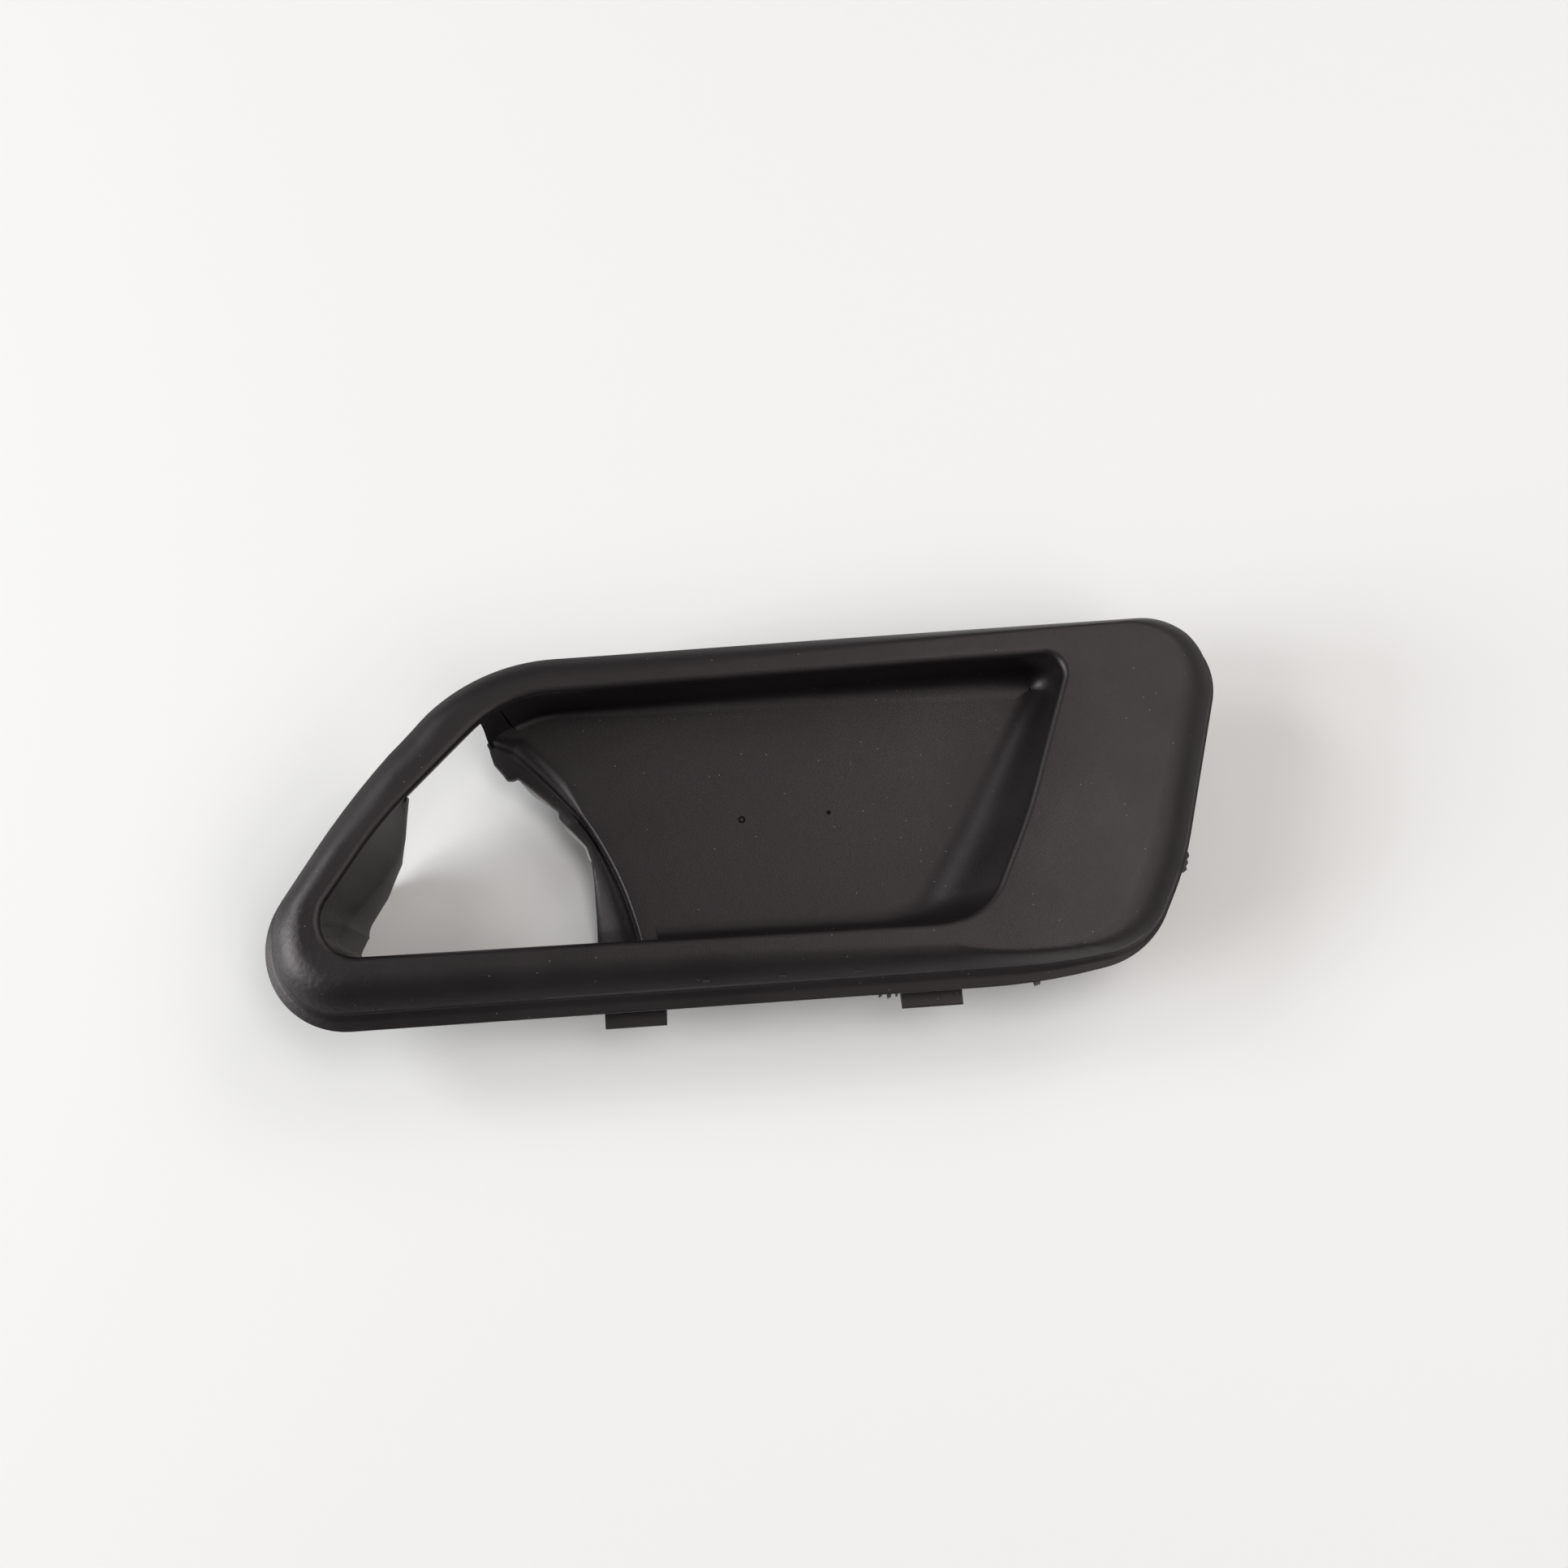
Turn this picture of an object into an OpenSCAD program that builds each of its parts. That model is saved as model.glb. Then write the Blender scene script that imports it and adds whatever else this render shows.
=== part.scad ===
// Trim cover for an inside door handle: a one-piece moulded bezel with a recessed finger well,
// an opening for the pull lever at its narrow end, and clips and bosses on its back.
// It lies face up. +X runs along the long edges, +Y across them and +Z out of the face.

/* [Cover] */
// Length from the narrow tip to the wide end
cover_l = 156.8; // [150:0.2:165]
// Width over the long edges
cover_w = 59.2; // [57:0.2:64]
// Height from the foot of the collar to the face
cover_h = 21.5; // [19.5:0.1:25]
// Thickness of the skirt, the well and the collar
wall_t = 1.8; // [1.4:0.1:2.2]
// Thickness of the face plate
face_t = 2.4; // [2:0.1:3]

/* [Outer edge] */
// Radius of the narrow tip
tip_r = 13.6; // [10:0.1:14.4]
// Slope of the slanted side near the tip, in degrees
side_low = 56; // [50:0.5:60]
// Slope of the slanted side near the shoulder, in degrees
side_high = 45.5; // [38:0.5:48]
// Height above the lower edge at which the slanted side changes slope
side_knee = 37.5; // [36:0.5:45]
// Radius of that change of slope
side_knee_r = 110; // [40:1:120]
// Radius of the shoulder between the slanted side and the top edge
shoulder_r = 32; // [24:0.5:36]
// Radius of the upper corner of the wide end
end_r = 11.5; // [9:0.1:13]
// Slope of the wide end above its bend, in degrees
end_high = 73.6; // [70:0.2:78]
// Slope of the wide end below its bend, in degrees
end_low = 62; // [58:0.5:66]
// Height above the lower edge of the bend in the wide end
end_knee = 17.4; // [15:0.1:20]
// Radius of the bend in the wide end
end_knee_r = 50; // [30:1:60]
// Rise of the lower edge up to the lower corner of the wide end
heel = 3.2; // [3.1:0.1:4.4]
// Radius of that lower corner
heel_r = 15; // [12:0.5:17]
// Slope of the lower edge just before that corner, in degrees
heel_slope = 10.5; // [8:0.5:14]
// Radius where the lower edge starts to rise
toe_r = 100; // [60:1:120]

/* [Lip and crown] */
// How far the lip stands out beyond the crown along the lower edge and round the tip
lip_out = 2.6; // [1.8:0.1:3]
// How far it stands out at the wide end
lip_out_end = 0.9; // [0.6:0.1:1.6]
// How far it stands out along the top edge and the slanted side
lip_out_top = 0.5; // [0.4:0.1:1.2]
// Thickness of the lip at its rim
lip_t = 0.8; // [0.6:0.1:1.2]
// Depth of the lip's underside below the face
lip_depth = 6.2; // [5.8:0.1:7.5]
// Depth below the face at which the crown meets the lip
crown_h = 4.2; // [3.4:0.1:4.6]
// Widest reach of the crown's curve
crown_w = 9; // [6:0.5:12]
// Share of a rail's width that the crown's curve may take
crown_share = 0.8; // [0.6:0.02:0.9]
// Radius of the rolled inner edge of the rails
roll_r = 1.2; // [0.8:0.1:1.5]

/* [Mouth] */
// Rail between the tip and the mouth
tip_rail = 10.3; // [9:0.1:12]
// Lower rail at the tip
low_rail_tip = 11.2; // [9.5:0.1:13]
// Lower rail at the wide end
low_rail_end = 10.2; // [9:0.1:12]
// Top rail at the shoulder
top_rail_shoulder = 7.4; // [7:0.1:9]
// Top rail at the wide end
top_rail_end = 6.3; // [6:0.1:8]
// Plain face between the mouth and the wide end
end_face = 25.8; // [23:0.2:30]
// Radius of the mouth at the tip
mouth_tip_r = 6.1; // [5:0.1:7]
// Slope of the mouth's slanted side near the tip, in degrees
mouth_side_low = 54.4; // [50:0.2:58]
// Slope of the mouth's slanted side near the shoulder, in degrees
mouth_side_high = 43.8; // [40:0.2:47]
// Height above the lower edge at which that side changes slope
mouth_knee = 32.6; // [30:0.2:35]
// Radius of that change of slope
mouth_knee_r = 60; // [40:1:80]
// Radius of the mouth at the shoulder
mouth_shoulder_r = 19; // [14:0.5:22]
// Radius of the mouth's upper corner at the wide end
mouth_end_r = 3.1; // [2.6:0.1:4]
// Slope of the mouth's end above its bend, in degrees
mouth_end_high = 69.6; // [67:0.2:73]
// Slope of the mouth's end below its bend, in degrees
mouth_end_low = 64; // [60:0.5:67]
// Height above the lower edge of the bend in the mouth's end
mouth_end_knee = 27.4; // [24:0.2:31]
// Radius of the bend in the mouth's end
mouth_end_knee_r = 80; // [40:1:100]
// Rise of the mouth's lower side up to its lower corner at the wide end
mouth_heel = 1.4; // [1.3:0.1:2.2]
// Radius of that lower corner
mouth_heel_r = 10; // [7:0.5:12]
// Radius where the mouth's lower side starts to rise
mouth_toe_r = 15; // [10:1:17]

/* [Finger well] */
// Depth of the well's floor below the face
well_depth = 11; // [9:0.1:12]
// How far the foot of the well's walls stands in from the mouth
well_draft = 0.9; // [0.6:0.1:1.4]
// Slope of the ramp's foot line across the well, in degrees
ramp_slope = 58.2; // [56:0.2:62]
// Bend in the ramp's foot line, in degrees
ramp_bend = 2.4; // [1:0.2:4]
// Inset of the ramp's foot from the mouth at its upper corner
ramp_inset = 1.4; // [1:0.1:2.4]
// Radius of the well's floor at the ramp's upper corner
ramp_end_r = 2.4; // [2.2:0.1:3.5]
// Radius of the well's floor at the ramp's lower corner
ramp_heel_r = 8; // [6.5:0.5:10]
// Reach of the fillet along the lower wall
fillet_low = 4; // [3:0.1:5]
// Reach of the fillet along the ramp
fillet_ramp = 2.6; // [2:0.1:4]
// Reach of the fillet along the top wall
fillet_top = 1.5; // [1:0.1:2]

/* [Lever opening] */
// Distance of the crest from the wide end of the cover, at the shoulder
crest_shoulder = 121.1; // [120:0.1:122]
// Distance of the crest from the wide end of the cover, at the lower rail
crest_low = 97; // [95:0.2:99]
// How far the crest's curve bulges towards the lever
crest_bulge = 4.5; // [3:0.1:6]
// Radius of the crest where the floor turns down
crest_r = 1.3; // [0.9:0.1:1.6]
// Depth of the ledge below the floor where it starts
ledge_drop_top = 3.4; // [2.8:0.1:4]
// Depth of the ledge below the floor at the lower rail
ledge_drop_low = 6.6; // [5.5:0.1:7]
// Width from the crest to the opening where the ledge starts
ledge_narrow = 2.6; // [2.4:0.1:3.2]
// Width from the crest to the opening at the lower rail
ledge_wide = 8; // [6:0.1:9]
// Length of the diagonal cut at the collar's free end
collar_cut = 15; // [12:0.5:18]
// How far the collar's lower part stands in from the mouth's edge
collar_in = 1.9; // [1:0.1:2.2]
// Depth of the crease in the collar below the face
collar_crease = 14; // [11:0.5:16]

/* [Clips] */
// Width of a hook on the lower edge
hook_w = 9.8; // [8:0.1:12]
// How far a hook stands out beyond the lip
hook_out = 2.1; // [1.5:0.1:2.6]
// Height of a hook
hook_h = 3; // [2:0.1:4]
// Gap under the lip for the panel that the cover clips to
panel_gap = 2.6; // [2:0.1:3.5]
// Distance of the first hook from the tip
hook_1 = 58.2; // [54:0.2:62]
// Distance of the second hook from the tip
hook_2 = 105.8; // [102:0.2:112]
// Width of the catch on the wide end
catch_w = 3.6; // [3:0.1:5]
// How far the catch stands out beyond the lip
catch_out = 0.5; // [0.2:0.1:1]
// Width of a spring leg on the top edge
leg_w = 8; // [6:0.5:10]
// Distance of the first spring leg from the tip
leg_1 = 62; // [58:0.5:70]
// Distance of the second spring leg from the tip
leg_2 = 118; // [110:0.5:124]

/* [Back] */
// Outer diameter of a screw boss
boss_d = 7; // [6:0.1:8]
// Diameter of its pilot hole
boss_hole_d = 2.6; // [2:0.1:3.2]
// Depth of its pilot hole
boss_hole_depth = 10; // [8:0.5:12]
// Distance of the bosses from the wide end
boss_end = 13.5; // [12:0.5:15]
// Distance between the bosses, measured across the cover
boss_pitch = 26; // [22:0.5:28]
// Thickness of a rib
rib_t = 1.2; // [1:0.1:1.6]
// Depth of the ribs below the face
rib_depth = 5.8; // [4.5:0.1:6]

/* [Hidden] */

FACET_ANGLE = 7;      // widest turn between two points of an outline
MIN_STEPS = 3;        // fewest steps round a gentle corner
EPS = 0.3;            // how far solids run into each other
UNDERCUT = 0.25;      // how far the mouth's edge leans back below its roll
plastic = "#262627";

y_top = (cover_w + hook_out) / 2;
y_low = y_top - cover_w;
x_tip = -cover_l / 2;
x_end = cover_l / 2;
z_face = cover_h;
z_floor = z_face - well_depth;
z_lip = z_face - lip_depth;
z_seat = z_face - roll_r - 0.5;    // level at which the well and the collar start inside the rails

// Corners of an outline as [x, y, radius], anticlockwise from the tip. Its two long sides may
// converge, its slanted side and its end each bend once, and its lower side rises to the heel.
function outline_corners(left, right, low_l, low_r, top_l, top_r, r_tip, slope_l1, knee_l, r_knee_l,
                         slope_l2, r_shoulder, r_end, slope_r2, knee_r, r_knee_r, slope_r1, y_heel,
                         r_heel, slope_heel, r_toe) =
    let (
        tip_x = left + r_tip - r_tip * tan(90 - slope_l1 / 2),
        knee_x = tip_x + (knee_l - low_l) / tan(slope_l1),
        shoulder_x = knee_x + (top_l - knee_l) / tan(slope_l2),
        end_x = right - r_end + r_end * tan(90 - slope_r2 / 2),
        bend_x = end_x - (top_r - knee_r) / tan(slope_r2),
        heel_x = bend_x - (knee_r - y_heel) / tan(slope_r1),
        toe_x = heel_x - (y_heel - low_r) / tan(slope_heel)
    ) [
        [tip_x, low_l, r_tip],
        [toe_x, low_r, r_toe],
        [heel_x, y_heel, r_heel],
        [bend_x, knee_r, r_knee_r],
        [end_x, top_r, r_end],
        [shoulder_x, top_l, r_shoulder],
        [knee_x, knee_l, r_knee_l]
    ];

lip_corners = outline_corners(
    left = x_tip, right = x_end, low_l = y_low, low_r = y_low, top_l = y_top, top_r = y_top,
    r_tip = tip_r, slope_l1 = side_low, knee_l = y_low + side_knee, r_knee_l = side_knee_r,
    slope_l2 = side_high, r_shoulder = shoulder_r, r_end = end_r, slope_r2 = end_high,
    knee_r = y_low + end_knee, r_knee_r = end_knee_r, slope_r1 = end_low,
    y_heel = y_low + heel, r_heel = heel_r, slope_heel = heel_slope, r_toe = toe_r
);

mouth_corners = outline_corners(
    left = x_tip + tip_rail, right = x_end - end_face, low_l = y_low + low_rail_tip,
    low_r = y_low + low_rail_end, top_l = y_top - top_rail_shoulder, top_r = y_top - top_rail_end,
    r_tip = mouth_tip_r, slope_l1 = mouth_side_low, knee_l = y_low + mouth_knee,
    r_knee_l = mouth_knee_r, slope_l2 = mouth_side_high, r_shoulder = mouth_shoulder_r,
    r_end = mouth_end_r, slope_r2 = mouth_end_high, knee_r = y_low + mouth_end_knee,
    r_knee_r = mouth_end_knee_r, slope_r1 = mouth_end_low, y_heel = y_low + low_rail_end + mouth_heel,
    r_heel = mouth_heel_r, slope_heel = heel_slope, r_toe = mouth_toe_r
);

floor_corners = outline_corners(
    left = x_tip + tip_rail + well_draft, right = x_end - end_face - ramp_inset,
    low_l = y_low + low_rail_tip + well_draft, low_r = y_low + low_rail_end + well_draft,
    top_l = y_top - top_rail_shoulder - well_draft, top_r = y_top - top_rail_end - well_draft,
    r_tip = mouth_tip_r - well_draft, slope_l1 = mouth_side_low, knee_l = y_low + mouth_knee,
    r_knee_l = mouth_knee_r, slope_l2 = mouth_side_high, r_shoulder = mouth_shoulder_r - well_draft,
    r_end = ramp_end_r, slope_r2 = ramp_slope + ramp_bend / 2, knee_r = y_low + mouth_end_knee,
    r_knee_r = mouth_end_knee_r, slope_r1 = ramp_slope - ramp_bend / 2,
    y_heel = y_low + low_rail_end + mouth_heel + well_draft,
    r_heel = ramp_heel_r, slope_heel = heel_slope, r_toe = mouth_toe_r
);

// Reach of the well's fillet at each corner, in the same order
fillets = [fillet_low, fillet_low, fillet_low, fillet_ramp, fillet_top, fillet_top, fillet_top];

function unit(v) = v / norm(v);
function mix(a, b, f) = a * (1 - f) + b * f;
function at(list, i) = list[(i + len(list)) % len(list)];
function flat(p) = [p.x, p.y];
function turn(c, i) =
    let (before = flat(at(c, i)) - flat(at(c, i - 1)), after = flat(at(c, i + 1)) - flat(at(c, i)))
    acos(unit(before) * unit(after));
function steps(i) = max(MIN_STEPS, ceil(turn(lip_corners, i) / FACET_ANGLE));

// Points of an outline as [[x, y], [outward normal], corner], each corner as an arc
function rounded(c) = [
    for (i = [0:len(c) - 1])
        let (
            p = flat(c[i]),
            r = c[i][2],
            back = unit(flat(at(c, i - 1)) - p),
            onward = unit(flat(at(c, i + 1)) - p),
            half = acos(back * onward) / 2,
            centre = p + unit(back + onward) * r / sin(half),
            first = p + back * r / tan(half) - centre,
            from = atan2(first.y, first.x),
            sweep = 180 - 2 * half
        )
        for (k = [0:steps(i)])
            let (a = from + sweep * k / steps(i))
            [centre + r * [cos(a), sin(a)], [cos(a), sin(a)], i]
];

lip_line = rounded(lip_corners);
mouth_line = rounded(mouth_corners);
floor_line = rounded(floor_corners);
COUNT = len(lip_line);

function shifted(line, d, z) = [for (s = line) [each s[0] + s[1] * d, z]];

// A closed skin through rings of points, which either meets itself like a tyre or has flat ends
function strip(a, b, n) = [
    for (j = [0:n - 1])
        let (k = (j + 1) % n)
        each [[a * n + j, b * n + j, b * n + k], [a * n + j, b * n + k, a * n + k]]
];
module ring_skin(rings, closed) {
    n = len(rings[0]);
    m = len(rings);
    sides = [for (i = [0:m - (closed ? 1 : 2)]) each strip(i, (i + 1) % m, n)];
    ends = closed ? [] : [[for (j = [0:n - 1]) j], [for (j = [n - 1:-1:0]) (m - 1) * n + j]];
    polyhedron([for (r = rings) each r], concat(sides, ends), convexity = 8);
}

// Width of the lip against the direction that its edge faces, in degrees anticlockwise from +X
lip_widths = [
    [0, lip_out_end], [16, lip_out_end], [45, lip_out_top], [134, lip_out_top],
    [146, mix(lip_out_top, lip_out, 0.15)], [180, mix(lip_out_top, lip_out, 0.7)],
    [225, mix(lip_out_top, lip_out, 0.85)], [265, lip_out], [271, lip_out],
    [281, mix(lip_out_end, lip_out, 0.55)], [333, lip_out_end], [360, lip_out_end]
];
lip_reach = [for (s = lip_line) lookup((atan2(s[1].y, s[1].x) + 360) % 360, lip_widths)];
function lip_ring(share, z) = [
    for (i = [0:COUNT - 1]) [each lip_line[i][0] - lip_line[i][1] * lip_reach[i] * share, z]
];

// Rail section: distance from the crease beside the lip to the mouth along each pair of points
crease = [for (i = [0:COUNT - 1]) lip_line[i][0] - lip_line[i][1] * lip_reach[i]];
brow = [for (s = mouth_line) s[0] + s[1] * roll_r];
rail = [for (i = [0:COUNT - 1]) norm(brow[i] - crease[i])];

// A point on the way from the crease to the brow, no further than the crown's share of the rail
function reach(i, d) = min(d, rail[i] * crown_share) / rail[i];
function crown_ring(a) = [
    for (i = [0:COUNT - 1])
        [each mix(crease[i], brow[i], reach(i, crown_w) * (1 - cos(a))), z_face - crown_h * (1 - sin(a))]
];
function under_ring(d, z) = [
    for (i = [0:COUNT - 1])
        [each mix(crease[i], brow[i], min(d / rail[i], 1)), z]
];

module frame() {
    break_edge = 0.2;     // rounding of the lip's rim
    lip_rise = 0.25;      // rise of the lip's top from its rim to the crown
    lip_top = z_lip + lip_t;
    crown_foot = z_face - crown_h;
    ring_skin([
        shifted(lip_line, 0, z_lip),
        shifted(lip_line, 0, lip_top - break_edge),
        shifted(lip_line, -break_edge, lip_top),
        lip_ring(0.65, lip_top + lip_rise),
        lip_ring(0.9, mix(lip_top + lip_rise, crown_foot, 0.45)),
        for (a = [0:15:90]) crown_ring(a),
        for (a = [0:30:90]) shifted(mouth_line, roll_r * (1 - sin(a)), z_face - roll_r * (1 - cos(a))),
        shifted(mouth_line, UNDERCUT, z_face - face_t),
        under_ring(wall_t + crown_w / 2, z_face - face_t),
        under_ring(wall_t, z_face - face_t - crown_h / 4),
        under_ring(wall_t, z_lip)
    ], closed = true);
}

// The well as a solid form, grown by a wall thickness or not at all for its inside
module well_form(grow, z_rim) {
    run = 0.92;           // share of the fillet's reach that it takes up on the floor
    drop = z_seat - z_floor;
    curl = [for (s = floor_line) fillets[s[2]]];
    // a point of the wall, down to where the fillet starts
    start = [
        for (i = [0:COUNT - 1])
            let (f = 1 - curl[i] / drop)
            [each mix(mouth_line[i][0] + mouth_line[i][1] * (EPS + grow),
                      floor_line[i][0] + floor_line[i][1] * grow, f), mix(z_seat, z_floor - grow, f)]
    ];
    foot = shifted(floor_line, grow, z_floor - grow);
    bottom = [
        for (i = [0:COUNT - 1])
            [each floor_line[i][0] + floor_line[i][1] * (grow - curl[i] * run), z_floor - grow]
    ];
    ring_skin([
        for (f = [1:-0.25:0])
            [for (i = [0:COUNT - 1])
                bottom[i] * f * f + foot[i] * 2 * f * (1 - f) + start[i] * (1 - f) * (1 - f)],
        shifted(mouth_line, EPS + grow, z_seat),
        shifted(mouth_line, EPS + grow, z_rim)
    ], closed = false);
}

// Crest: the curve along which the floor turns down towards the lever
crest_from = [x_end - crest_shoulder, y_top - top_rail_shoulder - 2.65];
crest_to = [x_end - crest_low, y_low + low_rail_tip - 0.4 * wall_t];
crest_mid = mix(crest_from, crest_to, 0.5) + crest_bulge * 2 * unit([1, 0.6]);
function crest(t) =
    crest_from * (1 - t) * (1 - t) + crest_mid * 2 * t * (1 - t) + crest_to * t * t;
function crest_side(t) =
    let (
        along_crest = unit((crest_mid - crest_from) * (1 - t) + (crest_to - crest_mid) * t),
        d = unit(mix(along_crest, [0, -1], t * t))
    ) [d.y, -d.x];

NOTCH = 0.45;         // where along the crest the ledge comes out from under the slope
LEDGE_STATIONS = 24;
ledge_width = [
    [0, ledge_narrow], [0.04, ledge_narrow + 1.2], [0.125, ledge_narrow + 1.8],
    [0.167, ledge_narrow + 0.8], [0.27, ledge_narrow + 1], [0.375, ledge_narrow + 0.1],
    [0.417, ledge_narrow + 0.9], [0.56, ledge_narrow - 0.1], [0.66, mix(ledge_narrow, ledge_wide, 0.18)],
    [0.79, mix(ledge_narrow, ledge_wide, 0.58)], [1, ledge_wide]
];
slope_run = [[0, 1.6], [0.1, 2.6], [0.3, 2.3], [NOTCH, crest_r], [1, crest_r]];
ledge_drop = [[0, ledge_drop_top], [NOTCH, ledge_drop_top], [1, ledge_drop_low]];

function ledge_section(t) =
    let (
        c = crest(t),
        n = crest_side(t),
        w = lookup(t, ledge_width),
        run = min(lookup(t, slope_run), w - 0.6),
        drop = lookup(t, ledge_drop),
        tail = drop + 0.2 * (w - run),
        place = [
            [-1.6, -0.5], [0, -0.04], [run * 0.4, -0.16 * drop], [run * 0.75, -0.42 * drop],
            [run, -drop], [w, -tail], [w, -tail - wall_t * 0.8],
            [run - wall_t * 0.6, -drop - wall_t * 0.8], [-1.6, -wall_t * 0.85]
        ]
    ) [for (p = place) [each c + n * p.x, z_floor + p.y]];

module ledge() {
    ring_skin([for (k = [0:LEDGE_STATIONS]) ledge_section(k / LEDGE_STATIONS)], closed = false);
}

// Collar: a wall under the mouth's edge, from its free end on the slanted side round the tip
tour = concat([for (s = mouth_line) if (s[2] == 6) s], [for (s = mouth_line) if (s[2] == 0) s]);
tour_end = [[crest_to.x + 2 * wall_t, y_low + low_rail_tip], [0, -1], 0];
collar_line = concat(tour, [tour_end]);
function lengths(line, i = 0, sum = 0) =
    i == len(line) ? [] :
    let (s = i == 0 ? 0 : sum + norm(line[i][0] - line[i - 1][0]))
    concat([s], lengths(line, i + 1, s));
collar_s = lengths(collar_line);

// Place (part 0) or outward direction (part 1) at a distance s along a line with these lengths
function along(line, marks, s, part) = [
    for (axis = [0, 1])
        lookup(s, [for (i = [0:len(line) - 1]) [marks[i], line[i][part][axis]]])
];

collar_foot = [
    [0, z_face - face_t - 0.4], [collar_cut / 3, z_face - 0.6 * cover_h],
    [collar_cut * 0.6, z_face - 0.84 * cover_h], [collar_cut, 0]
];
collar_crest = [
    [0, 4], [collar_cut / 2, collar_crease + 1], [collar_cut, collar_crease],
    [collar_cut + 12, collar_crease / 2], [collar_cut + 22, 3]
];
collar_inset = [
    [0, 0.1], [collar_cut / 3, 0.42 * collar_in], [collar_cut * 0.6, 0.84 * collar_in],
    [collar_cut, collar_in], [collar_cut + 9, 1.26 * collar_in], [collar_cut + 10.6, 0.82 * collar_in],
    [collar_cut + 12.2, 0.1], [collar_cut + 22, 0.1]
];
function collar_section(s) =
    let (
        p = along(collar_line, collar_s, s, 0),
        n = unit(along(collar_line, collar_s, s, 1)),
        foot = lookup(s, collar_foot),
        crease_z = max(foot + 0.3, z_face - lookup(s, collar_crest)),
        lean = lookup(s, collar_inset),
        place = [
            [EPS, z_seat], [-lean, crease_z], [-lean, foot], [wall_t - lean, foot],
            [wall_t - lean, crease_z], [wall_t + EPS, z_seat]
        ]
    ) [for (q = place) [each p + n * q.x, q.y]];

module collar() {
    last = collar_s[len(collar_s) - 1];
    stops = [
        for (s = [0, collar_cut / 6, collar_cut / 3, collar_cut * 0.45, collar_cut * 0.6,
                  collar_cut * 0.8, collar_cut]) s,
        for (s = [collar_cut + 1.5:1.5:collar_cut + 22.5]) s,
        last
    ];
    ring_skin([for (i = [len(stops) - 1:-1:0]) collar_section(stops[i])], closed = false);
}

// The short stretch of wall above the ledge, where the mouth bends at its shoulder
apex_line = concat([for (s = mouth_line) if (s[2] == 5) s], [[for (s = mouth_line) if (s[2] == 6) s][0]]);
apex_s = lengths(apex_line);
module apex_wall() {
    arc = mouth_shoulder_r * mouth_side_high * PI / 180;
    foot = z_floor - ledge_drop_top - EPS;
    // each corner of the section as its reach outwards, its height and the share of the arc at its end
    place = [[0.05, z_seat, 0.89], [0.05, foot, 1], [wall_t, foot, 1], [wall_t + UNDERCUT, z_seat, 0.89]];
    ring_skin([
        for (f = [1:-0.2:0])
            [for (q = place)
                let (s = mix(0.59, q.z, f) * arc)
                [each along(apex_line, apex_s, s, 0) + unit(along(apex_line, apex_s, s, 1)) * q.x, q.y]]
    ], closed = false);
}

// What the lever opening takes out of the well
module lever_opening() {
    outer = crest_from + [-0.57, 0.82] * 9;
    linear_extrude(height = 2 * cover_h, center = true)
        polygon([
            for (k = [0:LEDGE_STATIONS]) crest(k / LEDGE_STATIONS),
            [crest_to.x, y_low - 1],
            [x_tip - 1, y_low - 1],
            [x_tip - 1, outer.y],
            outer
        ]);
}

// A clip under the lip: a leg and a hook that points outwards, here towards -Y. The rim is at y = 0.
module clip(w, out, back, gap, h) {
    top = z_lip - gap;
    translate([-w / 2, 0, 0])
        rotate([90, 0, 90])
            linear_extrude(height = w)
                polygon([
                    [back + wall_t, z_lip + 0.4], [back + wall_t, top - h], [back - 0.5, top - h],
                    [-out, top - h / 3], [-out, top], [back, top], [back, z_lip + 0.4]
                ]);
}
module clips() {
    bend = [for (s = lip_line) if (s[2] == 3) s];
    middle = bend[floor(len(bend) / 2)];
    for (x = [hook_1, hook_2])
        translate([x_tip + x, y_low, 0]) clip(hook_w, hook_out, 1, panel_gap, hook_h);
    for (x = [leg_1, leg_2])
        translate([x_tip + x, y_top, 0]) rotate(180) clip(leg_w, -0.3, 0.9, panel_gap, hook_h + 1);
    translate([each middle[0], 0])
        rotate(90 + atan2(middle[1].y, middle[1].x)) clip(catch_w, catch_out, 1, panel_gap - 1, hook_h);
}

// Screw bosses behind the wide face, side by side along the wide end
end_a = flat(lip_corners[3]);
end_b = flat(lip_corners[4]);
function end_x(y) = mix(end_a.x, end_b.x, (y - end_a.y) / (end_b.y - end_a.y));
boss_ys = [for (side = [-1, 1]) (y_low + y_top) / 2 - 2 + side * boss_pitch / 2];
module bosses() {
    for (y = boss_ys)
        translate([end_x(y) - boss_end, y, 0])
            difference() {
                cylinder(d = boss_d, h = z_face - face_t + EPS, $fn = 48);
                translate([0, 0, -1]) cylinder(d = boss_hole_d, h = boss_hole_depth + 1, $fn = 48);
            }
}

// Ribs between the well and the skirt
module ribs() {
    z0 = z_face - rib_depth;
    h = rib_depth - face_t + EPS;
    difference() {
        union() {
            for (x = [for (k = [1:3]) mix(hook_1, hook_2, k / 4)])
                translate([x_tip + x - rib_t / 2, y_low + lip_out + wall_t / 2, z0])
                    cube([rib_t, low_rail_tip, h]);
            for (y = boss_ys)
                translate([0, y - rib_t / 2, z0])
                    cube([end_x(y) - lip_out_end - wall_t / 2, rib_t, h]);
        }
        well_form(wall_t / 2, z_face + 1);
        for (y = boss_ys)
            translate([end_x(y) - boss_end, y, -1]) cylinder(d = boss_hole_d + 2, h = cover_h, $fn = 48);
    }
}

module trim_cover() {
    color(plastic) {
        frame();
        difference() {
            well_form(wall_t, z_seat + 0.2);
            well_form(0, z_face);
            lever_opening();
        }
        ledge();
        apex_wall();
        collar();
        clips();
        bosses();
        ribs();
    }
}

trim_cover();
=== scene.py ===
"""A door handle trim cover: one satin black moulding, with its lip, well, ledge, collar and clips."""

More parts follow.
